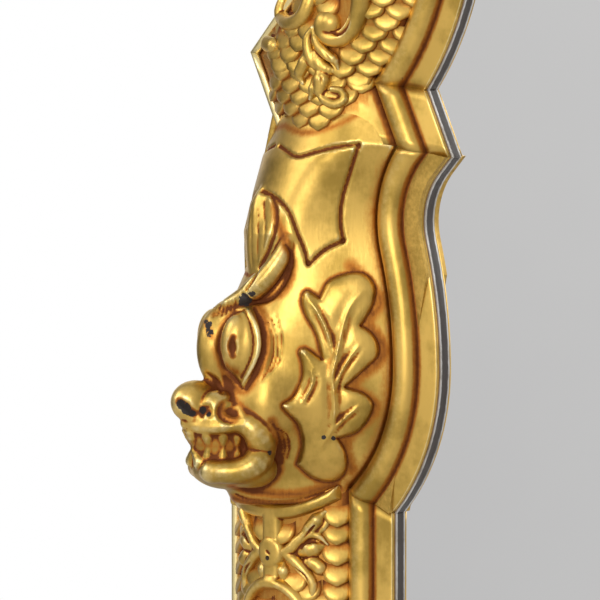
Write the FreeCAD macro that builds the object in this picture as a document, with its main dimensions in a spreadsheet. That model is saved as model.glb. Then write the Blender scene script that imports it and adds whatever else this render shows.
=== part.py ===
import FreeCAD, Part
import math
import os
import Sketcher
from FreeCAD import Matrix, Placement, Rotation, Vector

# Rococo wall mirror: carved and gilded frame, two beast masks on its shoulders, silvered slip,
# arched plate, back boards held by turn-buttons, and a pair of hanger rings.
# X runs to the right, +Y into the wall, Z up. The wall plane is Y = 0, and the origin is the
# middle of the bottom rail's back. Depth means distance from the wall, so Y = -depth.

driving = [
    # path of the bead's crest, which every member follows
    ("sight_half_width", 270.0),
    ("stile_length", 600.0),
    ("bottom_sag", 30.0),
    ("corner_lean", 48.0),
    ("belly_radius", 88.0),
    ("flank_radius", 215.0),
    ("flank_turn", 16.0),
    ("cusp_reach", 33.0),
    ("cusp_rise", 175.0),
    ("notch_reach", 17.6),
    ("notch_rise", 207.0),
    ("scroll_rise", 183.0),
    ("scroll_bulge", 35.0),
    ("arch_rise", 110.0),
    # section of the members
    ("wide_band", 103.0),
    ("narrow_band", 93.0),
    ("cove_width", 10.0),
    ("cove_front", 23.5),
    ("cove_rise", 2.5),
    ("bead_radius", 7.0),
    ("field_edge_depth", 28.5),
    ("wide_crest_depth", 44.0),
    ("narrow_crest_depth", 42.0),
    ("strip_width", 5.0),
    ("strip_rise", 2.5),
    ("lip_thickness", 2.0),
    ("shoulder_bulge", 4),
    ("seat_depth", 26.0),
    # glazing behind the lip
    ("slip_thickness", 3.4),
    ("slip_show", 0.9),
    ("glass_thickness", 4.0),
    ("glass_overlap", 8.0),
    ("arch_overlap", 20.0),
    ("card_thickness", 1.0),
    ("board_thickness", 6.0),
    ("glass_clearance", 1.5),
    ("ledge_width", 18.0),
    # mask
    ("mask_yaw", 25.0),
    ("neck_depth", 45.0),
    ("mask_height", 180.0),
    ("mask_half_width", 62.0),
    ("mask_reach", 55.0),
    ("brow_radius", 5.4),
    ("lip_radius", 4.6),
    ("tooth_length", 7.0),
    ("tooth_radius", 2.6),
    ("carve_clearance", 0.3),
    ("leaf_width", 50.0),
    ("leaf_height", 106.0),
    ("leaf_thickness", 4.0),
    ("leaf_facing", 30.0),
    # straps, sprigs, volutes
    ("strap_thickness", 3.0),
    ("strap_width", 11.5),
    ("strap_length", 36.0),
    ("collar_height", 8.0),
    ("collar_half_width", 36.0),
    ("collar_drop", 11.0),
    ("disc_radius", 9.0),
    ("disc_rise", 1.5),
    ("ring_radius", 25.0),
    ("sprig_thickness", 4.5),
    ("sprig_length", 30.0),
    ("volute_radius", 19.0),
    ("volute_strap", 7.0),
    ("volute_thickness", 5.0),
    ("husk_length", 40.0),
    ("husk_width", 24.0),
    ("husk_thickness", 6.0),
    ("crest_width", 120.0),
    ("crest_height", 84.0),
    ("crest_thickness", 6.0),
    # back hardware
    ("button_length", 34.0),
    ("button_width", 12.0),
    ("button_thickness", 2.0),
    ("button_lift", 0.3),
    ("screw_radius", 1.7),
    ("screw_head_radius", 3.4),
    ("screw_head_height", 1.8),
    ("screw_length", 12.0),
    ("screw_fit", 0.05),
    ("mortise_margin", 3.0),
    ("mortise_depth", 11.0),
    ("hanger_below_corner", 130.0),
    ("hanger_width", 17.0),
    ("hanger_height", 46.0),
    ("hanger_thickness", 1.6),
    ("ring_wire_radius", 1.8),
    ("ring_half_width", 11.0),
    ("ring_drop", 16.0),
    ("ring_fit", 0.3),
    ("key_length", 28.0),
    ("key_width", 20.0),
    ("key_waist", 11.0),
    ("key_thickness", 6.0),
    ("dowel_radius", 4.0),
    ("dowel_length", 26.0),
    ("pin_radius", 1.2),
    ("pin_length", 12.0),
    ("pin_rise", 0.6),
    ("overrun", 40.0),
]

doc = FreeCAD.newDocument("rococo_mirror")
sheet = doc.addObject("Spreadsheet::Sheet", "sizes")
for row, (alias, value) in enumerate(driving, start=1):
    sheet.set(f"A{row}", alias)
    sheet.set(f"B{row}", str(value))
    sheet.setAlias(f"B{row}", alias)
doc.recompute()


def size(alias):
    return float(sheet.get(alias))


mitre_room_share = 1.25
sector_inside_share = 1.2

overrun = size("overrun")
mitre_room = size("wide_band") * mitre_room_share
depth_axis = Vector(0, -1, 0)
turn_axis = Vector(0, 1, 0)

# Depth levels behind the lip, from the front to the ledge that carries the turn-buttons.
cove_foot = size("cove_front") + size("cove_rise")
slip_front = size("cove_front") - size("lip_thickness")
glass_front = slip_front - size("slip_thickness")
card_front = glass_front - size("glass_thickness")
board_front = card_front - size("card_thickness")
ledge_depth = board_front - size("board_thickness")

# Offsets from the bead's crest, outward positive.
sight_offset = -(size("cove_width") + size("bead_radius"))
wide_edge = size("wide_band") + sight_offset
narrow_edge = size("narrow_band") + sight_offset
crest_half_width = size("sight_half_width") - sight_offset
glass_half_width = size("sight_half_width") + size("glass_overlap")

# The bottom rail's back runs from the ledge to its outer edge, and its middle is the origin.
rail_back_inner = sight_offset + size("glass_overlap") + size("glass_clearance") + size("ledge_width")
crest_level = size("bottom_sag") + (rail_back_inner + wide_edge) / 2
corner_level = crest_level + size("stile_length")
key_offset = (rail_back_inner + wide_edge) / 2

front_limit = size("neck_depth") + size("mask_reach") + overrun

nodes = []


def keep(label, item):
    """Names a finished sub-part and lists it for writing."""
    item.Label = label
    nodes.append(item)
    return item


def feature(label, shape):
    """A sub-part whose form is carved or run along the frame's own path."""
    item = doc.addObject("Part::Feature", label)
    item.Shape = shape
    item.Placement = Placement()
    return keep(label, item)


def mirrored(shape):
    return shape.mirror(Vector(0, 0, 0), Vector(1, 0, 0))


def pair(name, shape):
    feature("left_" + name, shape)
    feature("right_" + name, mirrored(shape))


def biggest(shape):
    return max(shape.Solids, key=lambda solid: solid.Volume)


# Path of the frame. A heading is an angle from straight up, clockwise as seen from the front,
# and outward is to the left of it.

def along(heading):
    angle = math.radians(heading)
    return Vector(math.sin(angle), 0, math.cos(angle))


def outward(heading):
    angle = math.radians(heading)
    return Vector(-math.cos(angle), 0, math.sin(angle))


class Run:
    """One member's stretch of the path: lines and arcs that follow each other smoothly."""

    def __init__(self, start, heading):
        self.start = start
        self.start_heading = heading
        self.end = start
        self.heading = heading
        self.steps = []

    def line(self, length):
        finish = self.end + along(self.heading) * length
        self.steps.append((self.end, self.heading, finish, self.heading, None))
        self.end = finish
        return self

    def arc(self, radius, turn):
        side = -1 if turn > 0 else 1
        centre = self.end + outward(self.heading) * (radius * side)
        spin = Rotation(turn_axis, turn)
        finish = centre + spin.multVec(self.end - centre)
        self.steps.append((self.end, self.heading, finish, self.heading + turn, centre))
        self.end = finish
        self.heading += turn
        return self

    def arc_to(self, finish):
        chord = finish - self.end
        bearing = math.degrees(math.atan2(chord.x, chord.z))
        turn = 2 * (bearing - self.heading)
        return self.arc(abs(chord.Length / (2 * math.sin(math.radians(turn / 2)))), turn)

    def sweep(self, section):
        """Solid of a section along the run, drawn on past both ends for the mitres."""
        first = section.face(self.start, self.start_heading)
        pieces = [first.extrude(along(self.start_heading) * -mitre_room)]
        for begin, head_in, finish, head_out, centre in self.steps:
            face = section.face(begin, head_in)
            if centre is None:
                pieces.append(face.extrude(finish - begin))
            else:
                pieces.append(face.revolve(centre, turn_axis, head_out - head_in))
        pieces.append(section.face(self.end, self.heading).extrude(along(self.heading) * mitre_room))
        return pieces[0].fuse(pieces[1:]).removeSplitter()


class Section:
    """Closed outline of (offset, depth) points; a point with a middle ends an arc."""

    def __init__(self, start):
        self.start = start
        self.steps = []

    def to(self, point, middle=None):
        self.steps.append((point, middle))
        return self

    def face(self, origin, heading):
        side = outward(heading)

        def place(point):
            return origin + side * point[0] + depth_axis * point[1]

        edges = []
        last = self.start
        closing = [] if self.steps[-1][0] == self.start else [(self.start, None)]
        for point, middle in self.steps + closing:
            if middle is None:
                edges.append(Part.makeLine(place(last), place(point)))
            else:
                edges.append(Part.Arc(place(last), place(middle), place(point)).toShape())
            last = point
        return Part.Face(Part.Wire(edges))


def prism(edges, low, high):
    """Solid over a closed outline in the wall plane, between two depths."""
    face = Part.Face(Part.Wire(Part.__sortEdges__(edges)))
    solid = face.extrude(depth_axis * (high - low))
    solid.translate(depth_axis * low)
    return solid


def polygon(points, low, high):
    closed = points + points[:1]
    return prism([Part.makeLine(a, b) for a, b in zip(closed, closed[1:])], low, high)


scroll_radius = ((size("scroll_rise") / 2) ** 2 + size("scroll_bulge") ** 2) / (2 * size("scroll_bulge"))
scroll_lean = 2 * math.degrees(math.atan2(size("scroll_bulge"), size("scroll_rise") / 2))
arch_half_span = crest_half_width - size("notch_reach")
arch_radius = (arch_half_span ** 2 + size("arch_rise") ** 2) / (2 * size("arch_rise"))
arch_turn = 2 * math.degrees(math.atan2(size("arch_rise"), arch_half_span))
rail_radius = (crest_half_width ** 2 + size("bottom_sag") ** 2) / (2 * size("bottom_sag"))
rail_turn = 2 * math.degrees(math.asin(crest_half_width / rail_radius))

bottom_corner = Vector(-crest_half_width, 0, crest_level)
shoulder_corner = Vector(-crest_half_width, 0, corner_level)
cusp = shoulder_corner + Vector(size("cusp_reach"), 0, size("cusp_rise"))
notch = shoulder_corner + Vector(size("notch_reach"), 0, size("notch_rise"))
crook = notch + Vector(0, 0, size("scroll_rise"))
arch_centre = Vector(0, 0, crook.z + size("arch_rise") - arch_radius)
knee_run = notch - cusp
knee_heading = math.degrees(math.atan2(knee_run.x, knee_run.z))

rail = Run(Vector(crest_half_width, 0, crest_level), -90 - rail_turn / 2).arc(rail_radius, rail_turn)
stile = Run(bottom_corner, 0).line(size("stile_length"))
shoulder = Run(shoulder_corner, size("corner_lean")).arc(size("belly_radius"), -size("corner_lean"))
shoulder.arc(size("flank_radius"), -size("flank_turn")).arc_to(cusp)
knee = Run(cusp, knee_heading).line(knee_run.Length)
scroll = Run(notch, scroll_lean).arc(scroll_radius, -2 * scroll_lean)
arch = Run(crook, 90 - arch_turn).arc(arch_radius, arch_turn)


def mitre(before, after):
    """Direction of a mitre line, outward, and how much longer it is than the band is wide."""
    total = outward(before) + outward(after)
    stretch = 2 / total.Length
    return total.normalize(), stretch


rail_mitre = mitre(rail.heading, stile.start_heading)
corner_mitre = mitre(stile.heading, shoulder.start_heading)
cusp_mitre = mitre(shoulder.heading, knee.start_heading)
notch_mitre = mitre(knee.heading, scroll.start_heading)
crook_mitre = mitre(scroll.heading, arch.start_heading)
crown_mitre = (Vector(0, 0, 1), 1.0)


def sector(begin, begin_mitre, finish, finish_mitre):
    """Everything between two mitre lines, through the whole depth of the frame."""
    reach = size("wide_band") * 2
    inside = -(size("scroll_bulge") - sight_offset) * sector_inside_share
    points = [
        begin + begin_mitre[0] * inside,
        begin + begin_mitre[0] * reach,
        finish + finish_mitre[0] * reach,
        finish + finish_mitre[0] * inside,
    ]
    return polygon(points, -overrun, front_limit)


right_rail_mitre = (Vector(-rail_mitre[0].x, 0, rail_mitre[0].z), rail_mitre[1])
rail_sector = sector(rail.start, right_rail_mitre, rail.end, rail_mitre)
stile_sector = sector(stile.start, rail_mitre, stile.end, corner_mitre)
shoulder_sector = sector(shoulder.start, corner_mitre, shoulder.end, cusp_mitre)
knee_sector = sector(knee.start, cusp_mitre, knee.end, notch_mitre)
scroll_sector = sector(scroll.start, notch_mitre, scroll.end, crook_mitre)
arch_sector = sector(arch.start, crook_mitre, arch.end, crown_mitre)


# Members

def field_middle(outer_edge):
    return (size("bead_radius") + outer_edge - size("strip_width")) / 2


def field_arc(outer_edge, crest_depth, lift):
    """Edge, crest and edge of the convex field, raised by a layer's thickness."""
    return (
        (size("bead_radius"), size("field_edge_depth") + lift),
        (field_middle(outer_edge), crest_depth + lift),
        (outer_edge - size("strip_width"), size("field_edge_depth") + lift),
    )


def moulding_section(outer_edge, crest_depth):
    bead = size("bead_radius")
    inner, crest, outer = field_arc(outer_edge, crest_depth, 0)
    section = Section((sight_offset, 0)).to((sight_offset, size("cove_front")))
    section.to((-bead, cove_foot)).to((bead, cove_foot), (0, cove_foot + bead)).to(inner)
    section.to(outer, crest)
    strip_top = size("field_edge_depth") + size("strip_rise")
    section.to((outer_edge, size("field_edge_depth")), (outer_edge - size("strip_width") / 2, strip_top))
    return section.to((outer_edge, 0))


def layer_section(outer_edge, crest_depth, thickness):
    """Skin of carving that lies on the convex field."""
    inner, crest, outer = field_arc(outer_edge, crest_depth, 0)
    high_inner, high_crest, high_outer = field_arc(outer_edge, crest_depth, thickness)
    return Section(inner).to(high_inner).to(high_outer, high_crest).to(outer).to(inner, crest)


wide_section = moulding_section(wide_edge, size("wide_crest_depth"))
narrow_section = moulding_section(narrow_edge, size("narrow_crest_depth"))

glass_bottom = crest_level - size("bottom_sag") - sight_offset - size("glass_overlap")
glass_arch_radius = arch_radius + sight_offset + size("arch_overlap")


def glass_prism(grow, low, high):
    """The plate's arched outline, grown all round, between two depths."""
    half = glass_half_width + grow
    radius = glass_arch_radius + grow
    spring = arch_centre.z + math.sqrt(radius ** 2 - half ** 2)
    left_foot = Vector(-half, 0, glass_bottom - grow)
    right_foot = Vector(half, 0, glass_bottom - grow)
    left_spring = Vector(-half, 0, spring)
    right_spring = Vector(half, 0, spring)
    crown = arch_centre + Vector(0, 0, radius)
    edges = [
        Part.makeLine(left_foot, right_foot),
        Part.makeLine(right_foot, right_spring),
        Part.Arc(right_spring, crown, left_spring).toShape(),
        Part.makeLine(left_spring, left_foot),
    ]
    return prism(edges, low, high)


rebate = glass_prism(size("glass_clearance"), -overrun, slip_front)
hardware_rebate = glass_prism(size("glass_clearance") + size("ledge_width"), -overrun, ledge_depth)


def shoulder_body():
    """Flat seat for the mask, with the inner moulding and the outer strip round it."""
    low = shoulder.start + corner_mitre[0] * (wide_edge * corner_mitre[1])
    high = shoulder.end + cusp_mitre[0] * (narrow_edge * cusp_mitre[1])
    low_in = shoulder.start + corner_mitre[0] * (sight_offset * corner_mitre[1])
    high_in = shoulder.end + cusp_mitre[0] * (sight_offset * cusp_mitre[1])
    side = Vector(low.z - high.z, 0, high.x - low.x).normalize()
    bulge = (low + high) * 0.5 + side * size("shoulder_bulge")
    rim = (low, bulge, high)
    plate = prism([
        Part.Arc(*rim).toShape(),
        Part.makeLine(high, high_in),
        Part.makeLine(high_in, low_in),
        Part.makeLine(low_in, low),
    ], 0, size("seat_depth"))
    bead = size("bead_radius")
    moulding = Section((sight_offset, 0)).to((sight_offset, size("cove_front")))
    moulding.to((-bead, cove_foot)).to((bead, cove_foot), (0, cove_foot + bead)).to((bead, 0))
    inner = shoulder.sweep(moulding).common(shoulder_sector)
    # what lies between the sight edge and the straight chord of the plate
    opening = Section((sight_offset, -overrun)).to((sight_offset, front_limit))
    opening.to((2 * sight_offset, front_limit)).to((2 * sight_offset, -overrun))
    plate = plate.cut(shoulder.sweep(opening))
    strip = strip_ring(rim)
    return plate.fuse([inner, strip]).common(shoulder_sector), rim


def strip_ring(rim):
    """Raised strip along the shoulder's outer edge, from the back to its rounded top."""
    circle = Part.Circle(*rim)
    centre = circle.Center
    start = rim[0]
    radial = (start - centre).normalize()
    width = size("strip_width")
    edge_depth = size("field_edge_depth")

    def place(back, depth):
        return start - radial * back + depth_axis * depth

    top = edge_depth + size("strip_rise")
    edges = [
        Part.makeLine(place(0, 0), place(0, edge_depth)),
        Part.Arc(place(0, edge_depth), place(width / 2, top), place(width, edge_depth)).toShape(),
        Part.makeLine(place(width, edge_depth), place(width, 0)),
        Part.makeLine(place(width, 0), place(0, 0)),
    ]
    face = Part.Face(Part.Wire(edges))
    sweep = math.degrees(radial.getAngle(rim[2] - centre))
    lead = math.degrees(overrun / circle.Radius)
    face.rotate(centre, turn_axis, -lead)
    return face.revolve(centre, turn_axis, sweep + 2 * lead)


def shoulder_seat(rim):
    """Outline on the shoulder inside bead and strip, where the mask is glued."""
    gap = size("carve_clearance")
    inset = size("bead_radius") + gap
    start = shoulder.start + corner_mitre[0] * (sight_offset * corner_mitre[1])
    finish = shoulder.end + cusp_mitre[0] * (sight_offset * cusp_mitre[1])
    circle = Part.Circle(*rim)
    radius = circle.Radius - size("strip_width") - gap
    first, middle, last = [circle.Center + (point - circle.Center).normalize() * radius for point in rim]
    bed = prism([
        Part.Arc(first, middle, last).toShape(),
        Part.makeLine(last, finish),
        Part.makeLine(finish, start),
        Part.makeLine(start, first),
    ], size("seat_depth"), front_limit)
    band = Section((inset, 0)).to((inset, front_limit))
    band.to((2 * sight_offset, front_limit)).to((2 * sight_offset, 0))
    return biggest(bed.cut(shoulder.sweep(band)))


def butterfly_key(joint, direction, stretch):
    """Bow-tie key let into the back across a mitre, its waist on the joint line."""
    middle = joint + direction * (key_offset * stretch)
    across = Vector(direction.z, 0, -direction.x)
    half = size("key_length") / 2
    outline = []
    for step, breadth in ((-half, "key_width"), (0, "key_waist"), (half, "key_width")):
        outline.append(middle + across * step + direction * (size(breadth) / 2))
    for step, breadth in ((half, "key_width"), (0, "key_waist"), (-half, "key_width")):
        outline.append(middle + across * step - direction * (size(breadth) / 2))
    return polygon(outline, 0, size("key_thickness"))


left_joints = [
    (bottom_corner, rail_mitre),
    (shoulder_corner, corner_mitre),
    (cusp, cusp_mitre),
    (notch, notch_mitre),
    (crook, crook_mitre),
]
left_keys = [butterfly_key(joint, *line) for joint, line in left_joints]
crown_key = butterfly_key(arch.end, *crown_mitre)
keys = left_keys + [mirrored(key) for key in left_keys] + [crown_key]

# The hanger lies in a mortise in the stile's back, under the shoulder.
hanger_x = -crest_half_width - key_offset
hanger_z = corner_level - size("hanger_below_corner")
ring_room = size("ring_wire_radius") + size("mortise_margin")
mortise_half_width = size("ring_half_width") + ring_room
mortise_foot = hanger_z - size("hanger_height") - size("mortise_margin")
mortise = Part.makeBox(
    2 * mortise_half_width, size("mortise_depth") + overrun,
    hanger_z + size("ring_drop") + ring_room - mortise_foot,
    Vector(hanger_x - mortise_half_width, -size("mortise_depth"), mortise_foot),
)

shoulder_shape, shoulder_rim = shoulder_body()
seat = shoulder_seat(shoulder_rim)

# Mask frame: origin at the neck, forward turned outward by the yaw.
yaw = Rotation(Vector(0, 0, 1), -size("mask_yaw"))
neck = Vector(-crest_half_width - field_middle(wide_edge), -size("neck_depth"), corner_level)


def mask_point(side, forward, up):
    """A place on the head from shares of its half-width, reach and height."""
    local = Vector(side * size("mask_half_width"), -forward * size("mask_reach"), up * size("mask_height"))
    return neck + yaw.multVec(local)


def lump(centre_shares, radius_shares, tilt=0.0):
    """Ellipsoid of the carving, tilted sideways about the forward axis."""
    ball = Part.makeSphere(1.0)
    matrix = Matrix()
    matrix.scale(Vector(
        radius_shares[0] * size("mask_half_width"),
        radius_shares[1] * size("mask_reach"),
        radius_shares[2] * size("mask_height"),
    ))
    ball = ball.transformGeometry(matrix)
    ball.rotate(Vector(0, 0, 0), turn_axis, tilt)
    ball.Placement = Placement(mask_point(*centre_shares), yaw).multiply(ball.Placement)
    return ball


# Surface of the head by levels: height, forward place of the middle line, and how far the
# surface falls back at the half-width, as shares of height and reach.
head_level_shares = [
    (-0.06, 0.33, 1.14), (0, 0.40, 1.16), (0.11, 0.47, 1.20), (0.25, 0.49, 1.19), (0.36, 0.46, 1.17),
    (0.47, 0.41, 1.14), (0.56, 0.31, 1.06), (0.63, 0.23, 0.98), (0.73, 0.20, 0.84), (0.84, 0.12, 0.75),
    (0.95, 0.03, 0.69), (1.05, -0.08, 0.68),
]
head_side_shares = (-1.15, -0.80, -0.40, 0, 0.40, 0.80, 1.15)


def head_body():
    """Loft of neck, face and forehead through the level sections."""
    wires = []
    for up, forward, fall in head_level_shares:
        front = Part.BSplineCurve()
        front.interpolate([mask_point(side, forward - fall * side ** 2, up) for side in head_side_shares])
        back = Part.makeLine(front.EndPoint, front.StartPoint)
        wires.append(Part.Wire([front.toShape(), back]))
    return Part.makeLoft(wires, True)


def roll(point_shares, radius):
    """Round-ended roll of carving along a soft curve through places on the head."""
    points = [mask_point(*place) for place in point_shares]
    curve = Part.BSplineCurve()
    curve.interpolate(points)
    circle = Part.makeCircle(radius, points[0], curve.tangent(curve.FirstParameter)[0])
    tube = Part.Wire([curve.toShape()]).makePipeShell([Part.Wire([circle])], True, False)
    return [tube, Part.makeSphere(radius, points[0]), Part.makeSphere(radius, points[-1])]


def both_sides(shares):
    return [shares, [(-side, forward, up) for side, forward, up in shares]]


# Lumps of the face: centre and radii as shares of half-width, reach and height, and a tilt.
middle_lump_shares = [
    ((0, 0.42, 0.205), (0.29, 0.40, 0.110), 0),
    ((0, 0.44, 0.070), (0.32, 0.31, 0.055), 0),
    ((0, 0.52, 0.422), (0.155, 0.21, 0.117), 0),
    ((0, 0.44, 0.522), (0.20, 0.22, 0.052), 0),
    ((0, 0.09, 0.705), (0.155, 0.16, 0.150), 0),
    ((0, 0.765, 0.264), (0.155, 0.23, 0.060), 0),
]
paired_lump_shares = [
    ((0.21, 0.36, 0.433), (0.22, 0.23, 0.110), 0),
    ((0.24, 0.455, 0.428), (0.14, 0.165, 0.086), 6),
    ((0.17, 0.62, 0.244), (0.10, 0.165, 0.056), 0),
    ((0.27, 0.22, 0.245), (0.20, 0.22, 0.115), 0),
]
brow_shares = [(0.37, -0.08, 0.72), (0.365, 0.12, 0.66), (0.305, 0.23, 0.605), (0.19, 0.355, 0.56),
               (0.08, 0.46, 0.533)]
lip_corner_shares = (0.425, 0.23, 0.136)
upper_lip_shares = [(0, 0.84, 0.195), (0.13, 0.80, 0.194), (0.24, 0.66, 0.200), (0.34, 0.49, 0.200),
                    (0.41, 0.32, 0.178), lip_corner_shares]
lower_lip_shares = [(0, 0.70, 0.077), (0.11, 0.67, 0.075), (0.23, 0.56, 0.073), (0.33, 0.42, 0.075),
                    (0.39, 0.29, 0.089), lip_corner_shares]


def lips():
    """Upper and lower roll round the mouth, meeting at its corners."""
    made = []
    for near in (upper_lip_shares, lower_lip_shares):
        far = [(-side, forward, up) for side, forward, up in reversed(near[1:])]
        made += roll(far + near, size("lip_radius"))
    return made


def mask_body():
    lumps = [lump(*entry) for entry in middle_lump_shares]
    for (side, forward, up), radii, tilt in paired_lump_shares:
        lumps.append(lump((side, forward, up), radii, tilt))
        lumps.append(lump((-side, forward, up), radii, -tilt))
    for shares in both_sides(brow_shares):
        lumps += roll(shares, size("brow_radius"))
    return head_body().fuse(lumps + lips() + teeth())


tooth_side_shares = (-0.27, -0.17, -0.057, 0.057, 0.17, 0.27)
tooth_row_shares = ((0.195, -1), (0.085, 1))
tooth_line_share = 0.70
tooth_curve_share = 1.9
tooth_tip_share = 0.2


def teeth():
    """Two rows of pointed teeth round the front of the mouth."""
    made = []
    length = size("tooth_length")
    radius = size("tooth_radius")
    for up, point in tooth_row_shares:
        for side in tooth_side_shares:
            root = mask_point(side, tooth_line_share - tooth_curve_share * side ** 2, up)
            made.append(Part.makeCone(radius, radius * tooth_tip_share, length, root, Vector(0, 0, point)))
    return made


bevel_slope_share = 0.85


def bead_bevel(run, room):
    """What the carving leaves open beside the bead, so that its edge slopes down to it."""
    low = size("field_edge_depth")
    bead = size("bead_radius")
    reach = size("mask_half_width") - bead
    top = low + reach * bevel_slope_share
    section = Section((2 * sight_offset, low)).to((bead, low)).to((bead + reach, top))
    section.to((2 * sight_offset, top))
    return run.sweep(section).common(room)


def carve_box(low, high):
    """Block round the head between two depths."""
    side = size("wide_band") * 2
    tall = size("mask_height") * 2
    return Part.makeBox(2 * side, high - low, 2 * tall, Vector(neck.x - side, -high, neck.z - tall))


front_room = carve_box(size("seat_depth"), front_limit)
knee_shape = knee.sweep(narrow_section).common(knee_sector)
rim_top = cove_foot + size("bead_radius") + size("carve_clearance")
rim_room = shoulder_sector.cut(seat).common(carve_box(-overrun, rim_top))
carve_room = front_room.common(shoulder_sector.fuse(knee_sector))
carve_cuts = [
    rim_room, knee_shape,
    bead_bevel(shoulder, shoulder_sector), bead_bevel(knee, knee_sector),
]
mask_shape = biggest(mask_body().common(carve_room).cut(carve_cuts))

# Dowels behind the mask, along the depth.
dowel_place_shares = [(0.10, 0, 0.33), (0.16, 0, 0.62)]
dowels = []
for place in [mask_point(*shares) for shares in dowel_place_shares]:
    foot = Vector(place.x, -(size("seat_depth") - size("dowel_length") / 2), place.z)
    dowels.append(Part.makeCylinder(size("dowel_radius"), size("dowel_length"), foot, depth_axis))

# Cheek leaf: its lobes from notch to notch, as shares of its width and height from the foot of
# the midrib.
leaf_lobe_shares = [
    [(0.3, 0.75), (0.4, 0.72), (0.47, 0.66), (0.46, 0.6), (0.34, 0.55), (0.13, 0.46)],
    [(0.13, 0.46), (0.32, 0.43), (0.42, 0.38), (0.37, 0.3), (0.25, 0.24), (0.06, 0.21)],
    [(0.06, 0.21), (0.13, 0.16), (0.15, 0.08), (0.08, 0.02), (-0.05, 0.01), (-0.21, 0.03), (-0.37, 0.09)],
    [(-0.37, 0.09), (-0.32, 0.19), (-0.36, 0.29), (-0.46, 0.34), (-0.51, 0.38), (-0.4, 0.41), (-0.32, 0.5),
     (-0.32, 0.57), (-0.35, 0.63), (-0.28, 0.65), (-0.11, 0.59)],
    [(-0.11, 0.59), (-0.17, 0.71), (-0.28, 0.8), (-0.32, 0.87), (-0.27, 0.92), (-0.13, 0.88)],
    [(-0.13, 0.88), (-0.03, 0.96), (0.2, 1.0), (0.35, 0.99), (0.44, 0.93), (0.41, 0.84), (0.3, 0.75)],
]
leaf_root_shares = (0.716, -0.245, 0.043)
leaf_root = mask_point(*leaf_root_shares)
leaf_spin = Rotation(Vector(0, 0, 1), size("leaf_facing"))
leaf_across = leaf_spin.multVec(Vector(1, 0, 0))
leaf_front = leaf_spin.multVec(Vector(0, -1, 0))


def leaf_outline():
    """Prism over the lobed outline, through the side of the head."""
    edges = []
    for lobe in leaf_lobe_shares:
        curve = Part.BSplineCurve()
        curve.interpolate([
            leaf_root + leaf_across * (side * size("leaf_width")) + Vector(0, 0, up * size("leaf_height"))
            for side, up in lobe
        ])
        edges.append(curve.toShape())
    face = Part.Face(Part.Wire(edges))
    face.translate(leaf_front * -overrun)
    return face.extrude(leaf_front * (2 * overrun))


def leaf_layer(outline, front):
    """Leaf's thickness over the bare head, cut clear of the face and of the bead."""
    layer = biggest(head_body().common(carve_room).cut(carve_cuts))
    layer.translate(front * size("leaf_thickness"))
    return biggest(layer.common(outline).common(carve_room).cut([mask_shape, shoulder_shape]))


head_side = yaw.multVec(Vector(1, 0, 0))
outer_leaf_front = leaf_front - head_side * (2 * leaf_front.dot(head_side))
leaf_prism = leaf_outline()
inner_leaf = leaf_layer(leaf_prism, leaf_front)
outer_leaf = leaf_layer(leaf_prism.mirror(neck, head_side), outer_leaf_front)

# Applied carving on the stiles: strap and disc, with a sprig on each side.
strap_x = -crest_half_width - field_middle(wide_edge)
strap_skin = stile.sweep(layer_section(wide_edge, size("wide_crest_depth"), size("strap_thickness")))
disc_skin = stile.sweep(layer_section(wide_edge, size("wide_crest_depth"),
                                      size("strap_thickness") + size("disc_rise")))
sprig_skin = stile.sweep(layer_section(wide_edge, size("wide_crest_depth"), size("sprig_thickness")))


def disc(x, z, radius):
    circle = Part.makeCircle(radius, Vector(x, 0, z), depth_axis)
    return prism([circle], 0, front_limit)


def oval(x, z, half_length, half_width, heading):
    """Elliptic prism whose long axis points along a heading."""
    tip = Vector(x, 0, z) + along(heading) * half_length
    flank = Vector(x, 0, z) + outward(heading) * half_width
    return prism([Part.Ellipse(tip, flank, Vector(x, 0, z)).toShape()], 0, front_limit)


# Lobes of a sprig: place beside and above the disc, half length and half width as shares of the
# sprig's length, and a heading.
sprig_lobe_shares = [
    (0.46, 0.34, 0.52, 0.20, 38), (0.44, -0.05, 0.42, 0.17, 80), (0.40, -0.42, 0.46, 0.17, 140),
]
boss_level_share = 0.45
collar_lap_share = 0.2


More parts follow.
